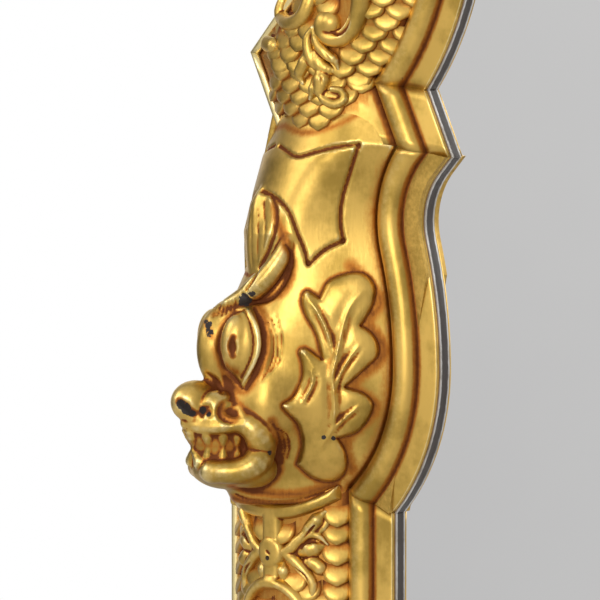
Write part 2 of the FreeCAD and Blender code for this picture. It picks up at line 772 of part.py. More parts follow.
def strap_set(top):
    """Collar, strap, disc and ring below a level, with the two sprigs beside the disc."""
    half = size("collar_half_width")
    drop = size("collar_drop")
    tall = size("collar_height")
    upper = Part.Arc(Vector(strap_x - half, 0, top), Vector(strap_x, 0, top - drop),
                     Vector(strap_x + half, 0, top))
    lower = Part.Arc(Vector(strap_x - half, 0, top - tall), Vector(strap_x, 0, top - drop - tall),
                     Vector(strap_x + half, 0, top - tall))
    collar = prism([
        upper.toShape(), lower.toShape(),
        Part.makeLine(upper.StartPoint, lower.StartPoint), Part.makeLine(upper.EndPoint, lower.EndPoint),
    ], 0, front_limit)
    strap_top = top - drop - tall / 2
    strap_foot = strap_top - size("strap_length")
    half_strap = size("strap_width") / 2
    strap = polygon([
        Vector(strap_x - half_strap, 0, strap_top), Vector(strap_x + half_strap, 0, strap_top),
        Vector(strap_x + half_strap, 0, strap_foot), Vector(strap_x - half_strap, 0, strap_foot),
    ], 0, front_limit)
    ring_z = strap_foot - size("ring_radius") + half_strap / 2
    ring = disc(strap_x, ring_z, size("ring_radius")).cut(
        disc(strap_x, ring_z, size("ring_radius") - half_strap))
    boss_z = strap_top - size("strap_length") * boss_level_share
    boss = disc(strap_x, boss_z, size("disc_radius"))
    outline = collar.fuse([strap, ring])
    straps = strap_skin.common(outline).fuse(disc_skin.common(boss))
    length = size("sprig_length")
    sprigs = []
    for side in (-1, 1):
        root = strap_x + side * size("disc_radius")
        lobes = [
            oval(root + side * length * out, boss_z + length * up, length * long, length * wide,
                 side * heading)
            for out, up, long, wide, heading in sprig_lobe_shares
        ]
        sprigs.append(lobes[0].fuse(lobes[1:]))
    clear = outline.fuse(boss)
    sprigs = [biggest(sprig_skin.common(item.cut(clear))) for item in sprigs]
    return biggest(straps), sprigs, Vector(strap_x, 0, boss_z)


left_strap, left_sprigs, left_pin = strap_set(corner_level - size("collar_height") * collar_lap_share)

# Carving on the scroll: a pair of volutes and the husk that hangs between them.
scroll_centre = scroll.steps[0][4]
volute_skin = scroll.sweep(layer_section(narrow_edge, size("narrow_crest_depth"), size("volute_thickness")))
husk_skin = scroll.sweep(layer_section(narrow_edge, size("narrow_crest_depth"), size("husk_thickness")))


def on_scroll(offset, turn):
    """Place in the wall plane on the scroll, by offset from the bead and turn from its start."""
    spin = Rotation(turn_axis, -turn)
    return scroll_centre + spin.multVec(notch + outward(scroll_lean) * offset - scroll_centre)


volute_half_turns = 3
volute_bore_share = 0.25
volute_eye_share = 0.8


def volute(place, hand):
    """Spiral strap: rings that shrink by half turns towards the eye, open to the upper side."""
    radius = size("volute_radius")
    strap = size("volute_strap")
    rings = []
    centre = place
    for turn in range(volute_half_turns):
        bore = max(radius - strap, strap * volute_bore_share)
        ring = disc(centre.x, centre.z, radius).cut(disc(centre.x, centre.z, bore))
        side = 1 if turn % 2 == 0 else -1
        foot = centre.z - (2 * radius if side > 0 else 0)
        half = Part.makeBox(4 * radius, front_limit + overrun, 2 * radius,
                            Vector(centre.x - 2 * radius, -front_limit, foot))
        rings.append(ring.common(half))
        centre = centre + Vector(hand * side * strap / 2, 0, 0)
        radius -= strap / 2
    rings.append(disc(centre.x, centre.z, strap * volute_eye_share))
    return rings[0].fuse(rings[1:])


volute_turn_share = 0.62
inner_volute_share = 0.62
outer_volute_share = 1.42
volute_turn = scroll_lean * volute_turn_share
inner_volute_place = on_scroll(field_middle(narrow_edge) * inner_volute_share, volute_turn)
outer_volute_place = on_scroll(field_middle(narrow_edge) * outer_volute_share, volute_turn)
volute_outline = volute(inner_volute_place, 1).fuse(volute(outer_volute_place, -1))
volute_shape = volute_skin.common(volute_outline)

# Lobes of the husk: place across, half length and half width as shares, and a lean.
husk_lobe_shares = [(0, 0.50, 0.24, 0), (0.30, 0.36, 0.20, -22), (-0.30, 0.36, 0.20, 22)]
husk_turn_share = 0.8
husk_lean_share = 0.3
husk_heading = 180 + scroll_lean * husk_lean_share
husk_top = on_scroll(field_middle(narrow_edge), volute_turn * husk_turn_share)
husk_middle = husk_top + along(husk_heading) * (size("husk_length") / 2)
husk_lobes = []
for across, long, wide, lean in husk_lobe_shares:
    place = husk_middle + outward(husk_heading) * (size("husk_width") * across)
    husk_lobes.append(oval(place.x, place.z, size("husk_length") * long, size("husk_width") * wide,
                           husk_heading + lean))
husk_outline = husk_lobes[0].fuse(husk_lobes[1:]).cut(volute_outline)
husk_shape = biggest(husk_skin.common(husk_outline))

# Cartouches on the crown of the arch and at the middle of the bottom rail. Lobes: place, half
# length and half width as shares of the half width and the height, and a heading.
crest_core_shares = (0.40, 0.42)
crest_lobe_shares = [
    (0.50, 0.12, 0.44, 0.17, 62), (0.52, -0.10, 0.46, 0.17, 100), (0.40, -0.22, 0.36, 0.15, 136),
]
rail_core_shares = (0.38, 0.36)
rail_lobe_shares = [
    (0.50, -0.10, 0.46, 0.16, 118), (0.56, 0.04, 0.46, 0.16, 88), (0.44, 0.20, 0.38, 0.15, 52),
]


def cartouche(middle, core_shares, lobe_shares):
    half = size("crest_width") / 2
    tall = size("crest_height")
    lobes = []
    for hand in (-1, 1):
        for out, up, long, wide, heading in lobe_shares:
            lobes.append(oval(middle.x + hand * half * out, middle.z + tall * up, half * long, half * wide,
                              hand * heading))
    return oval(middle.x, middle.z, tall * core_shares[0], half * core_shares[1], 0).fuse(lobes)


full_arch = Run(crook, 90 - arch_turn).arc(arch_radius, arch_turn * 2)
crest_skin = full_arch.sweep(layer_section(narrow_edge, size("narrow_crest_depth"), size("crest_thickness")))
crown_middle = arch.end + Vector(0, 0, field_middle(narrow_edge))
crest_shape = biggest(crest_skin.common(cartouche(crown_middle, crest_core_shares, crest_lobe_shares)))
rail_skin = rail.sweep(layer_section(wide_edge, size("wide_crest_depth"), size("crest_thickness")))
rail_middle = Vector(0, 0, crest_level - size("bottom_sag") - field_middle(wide_edge))
rail_shape = biggest(rail_skin.common(cartouche(rail_middle, rail_core_shares, rail_lobe_shares)))

# Pin through the disc.
pin_top = size("wide_crest_depth") + size("strap_thickness") + size("disc_rise") + size("pin_rise")
pin_foot = Vector(left_pin.x, -(pin_top - size("pin_length")), left_pin.z)
pins = [Part.makeCylinder(size("pin_radius"), size("pin_length"), pin_foot, depth_axis)]
left_strap = left_strap.cut(pins)

# Members cut to their mitres, rebates, key seats and pin holes.
stile_shape = stile.sweep(wide_section).common(stile_sector)
scroll_shape = scroll.sweep(narrow_section).common(scroll_sector)
arch_shape = arch.sweep(narrow_section).common(arch_sector)
rail_member = rail.sweep(wide_section).common(rail_sector)
back_cuts = [rebate, hardware_rebate] + keys
pair("stile", biggest(stile_shape.cut(back_cuts + [mortise] + pins)))
pair("shoulder", biggest(shoulder_shape.cut(back_cuts + dowels)))
pair("knee", biggest(knee_shape.cut(back_cuts)))
pair("scroll", biggest(scroll_shape.cut(back_cuts)))
pair("arch", biggest(arch_shape.cut(back_cuts)))
feature("bottom_rail", biggest(rail_member.cut(back_cuts)))

pair("mask", mask_shape.cut(dowels))
pair("mask_inner_leaf", inner_leaf)
pair("mask_outer_leaf", outer_leaf)
pair("collar_strap", left_strap)
pair("inner_sprig", left_sprigs[1])
pair("outer_sprig", left_sprigs[0])
pair("scroll_volutes", volute_shape)
pair("scroll_husk", husk_shape)
feature("crest_cartouche", crest_shape)
feature("rail_cartouche", rail_shape)
feature("joint_keys", Part.Compound(keys))
feature("mask_dowels", Part.Compound(dowels + [mirrored(item) for item in dowels]))
feature("strap_pins", Part.Compound(pins + [mirrored(item) for item in pins]))

# Silvered slip in mitred lengths between lip and glass.
slip_blank = glass_prism(0, glass_front, slip_front)
slip_inner = sight_offset - size("slip_show")


def slip_length(run, room, reach):
    section = Section((slip_inner, glass_front)).to((slip_inner, slip_front))
    section.to((reach, slip_front)).to((reach, glass_front))
    return biggest(run.sweep(section).common(room).common(slip_blank))


near_reach = size("belly_radius") / 2
far_reach = size("scroll_bulge") + size("notch_reach") + size("glass_overlap")
left_slips = [
    slip_length(stile, stile_sector, near_reach),
    slip_length(shoulder, shoulder_sector, near_reach),
    slip_length(knee, knee_sector, near_reach),
    slip_length(scroll, scroll_sector, far_reach),
    slip_length(arch, arch_sector, near_reach),
]
slips = left_slips + [mirrored(item) for item in left_slips] + [slip_length(rail, rail_sector, near_reach)]
feature("sight_slips", Part.Compound(slips))


# Plate, card and board: one sketched outline each, padded to its thickness.

def origin_plane(body, role):
    return next(item for item in body.Origin.OriginFeatures if item.Role == role)


def bind(sketch, kind, first, second, value, expression):
    index = sketch.addConstraint(Sketcher.Constraint(kind, *first, *second, value))
    sketch.setExpression(f"Constraints[{index}]", expression)


def glazing_body(label, front, thickness_alias):
    """Arched sheet whose front lies at a depth and whose thickness comes from the sheet."""
    body = doc.addObject("PartDesign::Body", label)
    sketch = body.newObject("Sketcher::SketchObject", label + "_outline")
    sketch.AttachmentSupport = (origin_plane(body, "XZ_Plane"), [""])
    sketch.MapMode = "FlatFace"
    half = glass_half_width
    rise = math.sqrt(glass_arch_radius ** 2 - half ** 2)
    spring = arch_centre.z + rise
    lean = math.atan2(rise, half)
    sketch.addGeometry(Part.LineSegment(Vector(-half, glass_bottom, 0), Vector(half, glass_bottom, 0)))
    sketch.addGeometry(Part.LineSegment(Vector(half, glass_bottom, 0), Vector(half, spring, 0)))
    circle = Part.Circle(Vector(0, arch_centre.z, 0), Vector(0, 0, 1), glass_arch_radius)
    sketch.addGeometry(Part.ArcOfCircle(circle, lean, math.pi - lean))
    sketch.addGeometry(Part.LineSegment(Vector(-half, spring, 0), Vector(-half, glass_bottom, 0)))
    for first, second in (((0, 2), (1, 1)), ((1, 2), (2, 1)), ((2, 2), (3, 1)), ((3, 2), (0, 1))):
        sketch.addConstraint(Sketcher.Constraint("Coincident", *first, *second))
    sketch.addConstraint(Sketcher.Constraint("Horizontal", 0))
    sketch.addConstraint(Sketcher.Constraint("Vertical", 1))
    sketch.addConstraint(Sketcher.Constraint("Vertical", 3))
    half_text = "sizes.sight_half_width + sizes.glass_overlap"
    bind(sketch, "DistanceX", (-1, 1), (0, 2), half, half_text)
    bind(sketch, "DistanceX", (0, 1), (-1, 1), half, half_text)
    bind(sketch, "DistanceY", (-1, 1), (0, 1), glass_bottom, f"{glass_bottom!r}")
    sketch.addConstraint(Sketcher.Constraint("PointOnObject", 2, 3, -2))
    bind(sketch, "DistanceY", (-1, 1), (2, 3), arch_centre.z, f"{arch_centre.z!r}")
    index = sketch.addConstraint(Sketcher.Constraint("Radius", 2, glass_arch_radius))
    sketch.setExpression(f"Constraints[{index}]", f"{arch_radius + sight_offset!r} + sizes.arch_overlap")
    pad = body.newObject("PartDesign::Pad", label + "_sheet")
    pad.Profile = sketch
    pad.setExpression("Length", f"sizes.{thickness_alias}")
    doc.recompute()
    body.Placement = Placement(Vector(0, -(front - size(thickness_alias)), 0), Rotation())
    return body


mirror_plate = keep("mirror_plate", glazing_body("mirror_plate", glass_front, "glass_thickness"))
backing_card = keep("backing_card", glazing_body("backing_card", card_front, "card_thickness"))
backboard = keep("backboard", glazing_body("backboard", board_front, "board_thickness"))

# Turn-buttons: pivot on the ledge just outside the rebate, one end over the backboard.
upper_button_share = 1.9
lower_button_share = 0.18
arch_button_share = 0.36
pivot_out = size("glass_clearance") + size("ledge_width") / 2
button_front = ledge_depth - size("button_lift")
side_x = glass_half_width + pivot_out
upper_z = corner_level - size("hanger_below_corner") * upper_button_share
lower_z = crest_level + size("stile_length") * lower_button_share
foot_z = glass_bottom - pivot_out
foot_x = size("sight_half_width") / 2
arch_pivot_radius = glass_arch_radius + pivot_out
arch_lean = arch_turn * arch_button_share
button_places = [
    (-side_x, lower_z, 90), (-side_x, upper_z, 90), (side_x, upper_z, -90), (side_x, lower_z, -90),
    (-foot_x, foot_z, 0), (foot_x, foot_z, 0),
]
for hand in (-1, 1):
    crown = arch_centre + along(hand * arch_lean) * arch_pivot_radius
    button_places.append((crown.x, crown.z, 180 + hand * arch_lean))


def turn_button(label, x, z, heading):
    """Flat plate with round ends and one hole, drawn with its long end pointing up."""
    body = doc.addObject("PartDesign::Body", label)
    sketch = body.newObject("Sketcher::SketchObject", label + "_outline")
    sketch.AttachmentSupport = (origin_plane(body, "XZ_Plane"), [""])
    sketch.MapMode = "FlatFace"
    half = size("button_width") / 2
    reach = size("button_length") - 2 * half
    tail = Part.Circle(Vector(0, 0, 0), Vector(0, 0, 1), half)
    tip = Part.Circle(Vector(0, reach, 0), Vector(0, 0, 1), half)
    sketch.addGeometry(Part.ArcOfCircle(tail, math.pi, 2 * math.pi))
    sketch.addGeometry(Part.LineSegment(Vector(half, 0, 0), Vector(half, reach, 0)))
    sketch.addGeometry(Part.ArcOfCircle(tip, 0, math.pi))
    sketch.addGeometry(Part.LineSegment(Vector(-half, reach, 0), Vector(-half, 0, 0)))
    hole = Part.Circle(Vector(0, 0, 0), Vector(0, 0, 1), size("screw_radius") + size("screw_fit"))
    sketch.addGeometry(hole)
    for first, second in (((0, 2), (1, 1)), ((1, 2), (2, 1)), ((2, 2), (3, 1)), ((3, 2), (0, 1))):
        sketch.addConstraint(Sketcher.Constraint("Tangent", *first, *second))
    sketch.addConstraint(Sketcher.Constraint("Coincident", 0, 3, -1, 1))
    sketch.addConstraint(Sketcher.Constraint("Coincident", 4, 3, -1, 1))
    sketch.addConstraint(Sketcher.Constraint("PointOnObject", 2, 3, -2))
    for kind_target, value, expression in (
            ((0,), half, "sizes.button_width / 2"),
            ((4,), hole.Radius, "sizes.screw_radius + sizes.screw_fit")):
        index = sketch.addConstraint(Sketcher.Constraint("Radius", *kind_target, value))
        sketch.setExpression(f"Constraints[{index}]", expression)
    bind(sketch, "DistanceY", (-1, 1), (2, 3), reach, "sizes.button_length - sizes.button_width")
    pad = body.newObject("PartDesign::Pad", label + "_plate")
    pad.Profile = sketch
    pad.setExpression("Length", "sizes.button_thickness")
    doc.recompute()
    back = button_front - size("button_thickness")
    body.Placement = Placement(Vector(x, -back, z), Rotation(turn_axis, heading))
    return keep(label, body)


button_screws = []
for count, (x, z, heading) in enumerate(button_places, start=1):
    turn_button(f"turn_button_{count}", x, z, heading)
    head_front = button_front - size("button_thickness") - size("button_lift")
    foot = Vector(x, -(head_front - size("screw_head_height")), z)
    head = Part.makeCylinder(size("screw_head_radius"), size("screw_head_height"), foot, depth_axis)
    shank = Part.makeCylinder(size("screw_radius"), size("screw_head_height") + size("screw_length"), foot,
                              depth_axis)
    button_screws.append(head.fuse(shank).removeSplitter())
feature("turn_button_screws", Part.Compound(button_screws))

# Hanger: strap screwed to the mortise floor, folded round the ring's straight side.
floor = size("mortise_depth")
wire = size("ring_wire_radius")
loop_inner = wire + size("ring_fit")
loop_outer = loop_inner + size("hanger_thickness")
pivot = Vector(hanger_x, -(floor - loop_outer), hanger_z)
half_hanger = size("hanger_width") / 2


def hanger_strap():
    """Flat strap hanging below its rolled eye, with two screw holes."""
    eye_foot = Vector(hanger_x - half_hanger, pivot.y, pivot.z)
    eye = Part.makeCylinder(loop_outer, size("hanger_width"), eye_foot, Vector(1, 0, 0))
    bore = Part.makeCylinder(loop_inner, size("hanger_width"), eye_foot, Vector(1, 0, 0))
    plate = Part.makeBox(size("hanger_width"), size("hanger_thickness"), size("hanger_height"),
                         Vector(hanger_x - half_hanger, -floor, pivot.z - size("hanger_height")))
    return eye.fuse(plate).cut(bore)


def hanger_ring():
    """Closed D of round wire: straight through the eye, arms beside it, half round below."""
    half = size("ring_half_width")
    foot = pivot.z - size("ring_drop") + half
    y = pivot.y
    left = Vector(hanger_x - half, y, pivot.z)
    right = Vector(hanger_x + half, y, pivot.z)
    low_left = Vector(hanger_x - half, y, foot)
    low_right = Vector(hanger_x + half, y, foot)
    bar = Part.makeCylinder(wire, 2 * half, left, Vector(1, 0, 0))
    arms = [
        Part.makeCylinder(wire, pivot.z - foot, low_left, Vector(0, 0, 1)),
        Part.makeCylinder(wire, pivot.z - foot, low_right, Vector(0, 0, 1)),
        Part.makeSphere(wire, left), Part.makeSphere(wire, right),
    ]
    round_end = Part.makeTorus(half, wire, Vector(hanger_x, y, foot), turn_axis)
    lower = Part.makeBox(4 * half, 4 * half, 2 * half,
                         Vector(hanger_x - 2 * half, y - 2 * half, foot - 2 * half))
    return bar.fuse(arms + [round_end.common(lower)])


hanger_screw_shares = (0.58, 0.86)
strap_shape = hanger_strap()
hanger_screws = []
for share in hanger_screw_shares:
    foot = Vector(hanger_x, -(floor - size("hanger_thickness") - size("screw_head_height")),
                  pivot.z - size("hanger_height") * share)
    head = Part.makeCylinder(size("screw_head_radius"), size("screw_head_height"), foot, depth_axis)
    shank = Part.makeCylinder(size("screw_radius"), size("screw_head_height") + size("screw_length"), foot,
                              depth_axis)
    hanger_screws.append(head.fuse(shank).removeSplitter())
strap_shape = strap_shape.cut(hanger_screws)
pair("hanger_strap", strap_shape)
pair("hanger_ring", hanger_ring())
feature("hanger_screws", Part.Compound(hanger_screws + [mirrored(item) for item in hanger_screws]))

# Screw holes in the members that take the screws.
for item in nodes:
    if item.Label.endswith(("stile", "arch", "scroll", "rail")):
        takers = [screw for screw in button_screws + hanger_screws + [mirrored(s) for s in hanger_screws]
                  if screw.BoundBox.intersect(item.Shape.BoundBox)]
        item.Shape = item.Shape.cut(takers) if takers else item.Shape

doc.recompute()
faults = [item.Label for item in doc.Objects if "Invalid" in item.State or "Error" in item.State]
for item in nodes:
    if item.Shape.isNull() or not item.Shape.isValid():
        faults.append(item.Label)
if faults:
    raise RuntimeError("failed pieces: " + ", ".join(faults))

os.makedirs("parts", exist_ok=True)
for item in nodes:
    item.Shape.exportStep(f"parts/{item.Label}.step")
    box = item.Shape.BoundBox
    print(f"{item.Label}: {len(item.Shape.Solids)} solids, {item.Shape.Volume:.0f} mm3, "
          f"x {box.XMin:.0f}..{box.XMax:.0f} y {box.YMin:.0f}..{box.YMax:.0f} "
          f"z {box.ZMin:.0f}..{box.ZMax:.0f}")
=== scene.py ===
import math
import bpy
import numpy as np
import openvdb
from mathutils import Euler, Matrix, Vector


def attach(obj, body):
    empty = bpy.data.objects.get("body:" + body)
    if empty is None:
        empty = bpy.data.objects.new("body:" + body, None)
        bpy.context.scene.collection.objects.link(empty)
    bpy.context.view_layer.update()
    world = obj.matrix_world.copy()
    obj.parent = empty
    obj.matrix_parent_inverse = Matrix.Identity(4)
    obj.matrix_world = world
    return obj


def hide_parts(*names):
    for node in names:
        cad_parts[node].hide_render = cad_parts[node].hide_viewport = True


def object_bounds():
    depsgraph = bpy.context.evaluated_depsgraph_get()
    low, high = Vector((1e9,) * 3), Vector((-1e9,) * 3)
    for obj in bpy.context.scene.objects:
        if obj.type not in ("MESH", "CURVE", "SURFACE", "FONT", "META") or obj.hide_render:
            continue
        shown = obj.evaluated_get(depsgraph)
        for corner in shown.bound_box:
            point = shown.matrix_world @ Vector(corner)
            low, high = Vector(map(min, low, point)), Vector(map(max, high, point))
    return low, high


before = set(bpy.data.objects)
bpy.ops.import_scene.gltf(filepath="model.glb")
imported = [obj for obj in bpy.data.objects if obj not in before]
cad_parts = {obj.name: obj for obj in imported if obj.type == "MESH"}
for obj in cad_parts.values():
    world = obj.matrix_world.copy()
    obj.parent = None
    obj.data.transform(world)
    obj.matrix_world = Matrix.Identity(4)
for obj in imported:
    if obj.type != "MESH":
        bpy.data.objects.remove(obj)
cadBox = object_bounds()
scene = bpy.context.scene
mm = 0.001

# what the members share with the CAD contour, mm and degrees
contour = {
    "stileLength": 600.0, "bottomSag": 30.0, "cornerLean": 48.0, "bellyRadius": 88.0,
    "flankRadius": 215.0, "flankTurn": 16.0, "cuspReach": 33.0, "cuspRise": 175.0, "notchReach": 17.6,
    "notchRise": 207.0, "scrollRise": 183.0, "scrollBulge": 35.0, "archRise": 110.0, "wideEdge": 86.0,
    "narrowEdge": 76.0, "crestHalf": 287.0, "crestLevel": 78.25, "coveFront": 23.5, "coveFoot": 26.0,
    "beadRadius": 7.0, "sightOffset": -17.0, "fieldEdge": 28.5, "wideCrest": 44.0, "narrowCrest": 42.0,
    "stripWidth": 5.0, "stripRise": 2.5, "slipFront": 21.5,
}
cornerLevel = contour["crestLevel"] + contour["stileLength"]

# photograph's view: a long lens, so that the photo's points can be traced along one direction
lens = {"azimuth": 42.0, "elevation": 5.0, "spanMm": 300.0, "distance": 3.2, "pixels": 600,
        "sensor": 36.0, "clip": 200.0, "target": (-317.0, -40.0, cornerLevel + 97.5)}


def viewAxes():
    a, e = math.radians(lens["azimuth"]), math.radians(lens["elevation"])
    back = np.array([math.sin(a) * math.cos(e), -math.cos(a) * math.cos(e), math.sin(e)])
    right = np.array([math.cos(a), math.sin(a), 0.0])
    return right, np.cross(back, right), back


perPx = lens["spanMm"] / lens["pixels"]     # mm across one photo pixel
midPx = lens["pixels"] / 2
viewRight, viewUp, viewBack = viewAxes()


def photoToRow(px, py):  # a photo pixel as a place on the view plane, mm in the row frame
    return np.array(lens["target"]) + viewRight * ((px - midPx) * perPx) + viewUp * ((midPx - py) * perPx)


def rowToPhoto(place):
    off = np.asarray(place) - lens["target"]
    return midPx + off @ viewRight / perPx, midPx - off @ viewUp / perPx


camData = bpy.data.cameras.new("camera")
camera = bpy.data.objects.new("camera", camData)
scene.collection.objects.link(camera)
camData.sensor_width = lens["sensor"]
camData.lens = lens["sensor"] * lens["distance"] / (lens["spanMm"] * mm)
camera.location = np.array(lens["target"]) * mm + viewBack * lens["distance"]
camera.rotation_mode = "QUATERNION"
camera.rotation_quaternion = Vector(-viewBack).to_track_quat("-Z", "Y")
camData.clip_end = lens["clip"]
scene.camera = camera
scene.view_settings.view_transform = "Standard"


# shader maths: a socket with operators, and one method for every other node
class wire:
    def __init__(self, tree, socket):
        self.tree, self.socket = tree, socket

    def maths(self, operation, *others):
        node = self.tree.nodes.new("ShaderNodeMath")
        node.operation = operation
        for i, value in enumerate((self,) + others):
            if isinstance(value, wire):
                self.tree.links.new(value.socket, node.inputs[i])
            else:
                node.inputs[i].default_value = value
        return wire(self.tree, node.outputs[0])

    def __add__(self, other):
        return self.maths("ADD", other)

    def __mul__(self, other):
        return self.maths("MULTIPLY", other)

    def __sub__(self, other):
        return self.maths("SUBTRACT", other)

    def __rsub__(self, other):
        return self.maths("MULTIPLY", -1.0).maths("ADD", other)

    def clamp(self):
        return self.maths("MINIMUM", 1.0).maths("MAXIMUM", 0.0)


class finish:
    def __init__(self, name):
        self.material = bpy.data.materials.new(name)
        self.material.use_nodes = True
        self.tree = self.material.node_tree
        self.shader = self.tree.nodes["Principled BSDF"]

    def node(self, kind, settings=None, inputs=None, output=0):
        made = self.tree.nodes.new(kind)
        for key, value in (settings or {}).items():
            if key == "stops":
                ramp = made.color_ramp
                while len(ramp.elements) < len(value):
                    ramp.elements.new(0.5)
                for element, (position, colour) in zip(ramp.elements, value):
                    element.position = position
                    element.color = colour
            else:
                setattr(made, key, value)
        for key, value in (inputs or {}).items():
            if isinstance(value, wire):
                self.tree.links.new(value.socket, made.inputs[key])
            else:
                made.inputs[key].default_value = value
        return wire(self.tree, made.outputs[output])

    def place(self):
        return self.node("ShaderNodeTexCoord", output="Object")

    def attribute(self, name):
        return self.node("ShaderNodeAttribute", {"attribute_name": name}, output="Fac")

    def noise(self, scale, detail=4.0, roughness=0.55):
        return self.node("ShaderNodeTexNoise", None, {
            "Vector": self.place(), "Scale": scale, "Detail": detail, "Roughness": roughness}, "Fac")

    def grain(self, stretch, scale, detail, roughness=0.5):
        along = self.node("ShaderNodeMapping", None, {"Vector": self.place(), "Scale": stretch})
        return self.node("ShaderNodeTexNoise", None, {
            "Vector": along, "Scale": scale, "Detail": detail, "Roughness": roughness}, "Fac")

    def depth(self):
        return self.node("ShaderNodeSeparateXYZ", None, {"Vector": self.place()}, "Y")

    def between(self, value, low, high):
        return self.node("ShaderNodeMapRange", {"interpolation_type": "SMOOTHSTEP"},
                         {"Value": value, "From Min": low, "From Max": high}, "Result")

    def mix(self, factor, first, second):
        made = self.tree.nodes.new("ShaderNodeMix")
        made.data_type = "RGBA"
        ends = (made.inputs["Factor"], factor), (made.inputs[6], first), (made.inputs[7], second)
        for socket, value in ends:
            if isinstance(value, wire):
                self.tree.links.new(value.socket, socket)
            else:
                socket.default_value = value
        return wire(self.tree, made.outputs[2])

    def bump(self, height, strength, distance):
        return self.node("ShaderNodeBump", None, {
            "Height": height, "Strength": strength, "Distance": distance}, "Normal")

    def set(self, **values):
        for key, value in values.items():
            socket = self.shader.inputs[key.replace("_", " ")]
            if isinstance(value, wire):
                self.tree.links.new(value.socket, socket)
            else:
                socket.default_value = value
        return self.material


def rgb(r, g, b):
    return (r, g, b, 1.0)


# the glaze and bole colours also serve as painted shade in the recesses
giltLook = {
    "leaf": rgb(0.69, 0.440, 0.104), "rubbedAndHighlight": rgb(0.93, 0.77, 0.38), "olive": rgb(0.40, 0.250, 0.048),
    "glazeAndShade": rgb(0.42, 0.150, 0.018), "boleAndShade": rgb(0.160, 0.040, 0.005), "chip": rgb(0.022, 0.014, 0.011),
    "metallic": 0.94, "roughness": 0.33, "darkSpotFrom": 0.74, "darkSpotTo": 0.78,
    "patches": 34.0, "specks": 420.0, "brushing": 900.0, "flakes": 95.0,    # noise scales
}


def giltMaterial(name):
    gilt = finish(name)
    cavity = gilt.attribute("cavity")      # 0 on open faces, 1 deep in a recess: painted shade and glaze
    rub = gilt.attribute("rub")            # 1 on the proud edges: wear and painted highlight
    broad = gilt.noise(giltLook["patches"], 4.0, 0.55)
    fine = gilt.noise(giltLook["specks"], 4.0, 0.6)
    streak = gilt.grain((1.0, 1.0, 0.16), giltLook["brushing"], 3.0)
    # painted shade and glaze from the recess value, with random patches and streaks
    darkening = cavity + (broad - 0.5) * 0.30 + (fine - 0.5) * 0.30 + (streak - 0.5) * 0.24
    half = gilt.between(darkening, 0.16, 0.62)
    deep = gilt.between(darkening, 0.50, 0.98)
    tone = gilt.between(broad * 0.84 + fine * 0.10 + streak * 0.06, 0.36, 0.60)
    wornAndHighlit = gilt.between(rub + (fine - 0.5) * 0.4, 0.30, 0.95)
    colour = gilt.mix(tone, giltLook["olive"], giltLook["leaf"])
    # the pale rubbed colour on the proud edges: wear and painted highlight
    colour = gilt.mix(wornAndHighlit * 0.85, colour, giltLook["rubbedAndHighlight"])
    # recesses turn to brown glaze and then bole: glaze and painted shade
    colour = gilt.mix(half, colour, giltLook["glazeAndShade"])
    colour = gilt.mix(deep, colour, giltLook["boleAndShade"])
    # random flakes and chips, and painted shade in the nostrils and pin holes, all near black
    flakingAndHoleShade = (gilt.noise(giltLook["flakes"], 6.0, 0.7) + cavity * 0.05
               + gilt.attribute("chip") * (fine * 0.5 + 0.15))
    chip = gilt.between(flakingAndHoleShade, giltLook["darkSpotFrom"], giltLook["darkSpotTo"])
    colour = gilt.mix(chip, colour, giltLook["chip"])
    metal = (1.0 - half * 0.12 - deep * 0.18) * (1.0 - chip) * giltLook["metallic"]
    rough = fine * 0.07 + giltLook["roughness"] + half * 0.12 + deep * 0.2 + chip * 0.3 - wornAndHighlit * 0.05
    brushed = gilt.bump(streak * 0.5 + fine * 0.4 - chip * 0.8, 0.16, 0.0005)
    return gilt.set(Base_Color=colour, Metallic=metal, Roughness=rough.clamp(), Normal=brushed)


gilt = giltMaterial("wornGiltLeaf")


# meshes
def newPiece(name, points, faces, attributes):  # a smooth gilt mesh with its tones
    mesh = bpy.data.meshes.new(name)
    points = np.asarray(points, np.float32)
    faces = np.asarray(faces, np.int32)
    mesh.vertices.add(len(points))
    mesh.vertices.foreach_set("co", points.ravel())
    width = faces.shape[1]
    mesh.loops.add(faces.size)
    mesh.loops.foreach_set("vertex_index", faces.ravel())
    mesh.polygons.add(len(faces))
    mesh.polygons.foreach_set("loop_start", np.arange(len(faces), dtype=np.int32) * width)
    mesh.update(calc_edges=True)
    mesh.validate()
    mesh.polygons.foreach_set("use_smooth", np.full(len(mesh.polygons), True))
    for key, values in attributes.items():
        layer = mesh.attributes.new(key, "FLOAT", "POINT")
        layer.data.foreach_set("value", np.asarray(values, np.float32))
    mesh.materials.append(gilt)
    piece = bpy.data.objects.new(name, mesh)
    scene.collection.objects.link(piece)
    return piece


def dress(piece, nodes=()):  # on the frame's body, in place of the CAD nodes named
    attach(piece, "frame")
    if nodes:
        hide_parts(*nodes)


def evenly(values, count):  # a few values spread evenly over a line's points
    return np.interp(np.linspace(0, 1, count), np.linspace(0, 1, len(values)), values)


def mirrorCopy(piece, name):  # the other side's twin, faces turned back outwards
    mesh = piece.data.copy()
    mesh.name = name
    coords = np.empty(len(mesh.vertices) * 3, np.float32)
    mesh.vertices.foreach_get("co", coords)
    coords[0::3] *= -1
    mesh.vertices.foreach_set("co", coords)
    mesh.flip_normals()
    mesh.update()
    twin = bpy.data.objects.new(name, mesh)
    scene.collection.objects.link(twin)
    return twin


def dressPair(piece, name, nodes=()):  # the left piece and its twin
    dress(piece, ["left_" + node for node in nodes])
    dress(mirrorCopy(piece, "right_" + name), ["right_" + node for node in nodes])


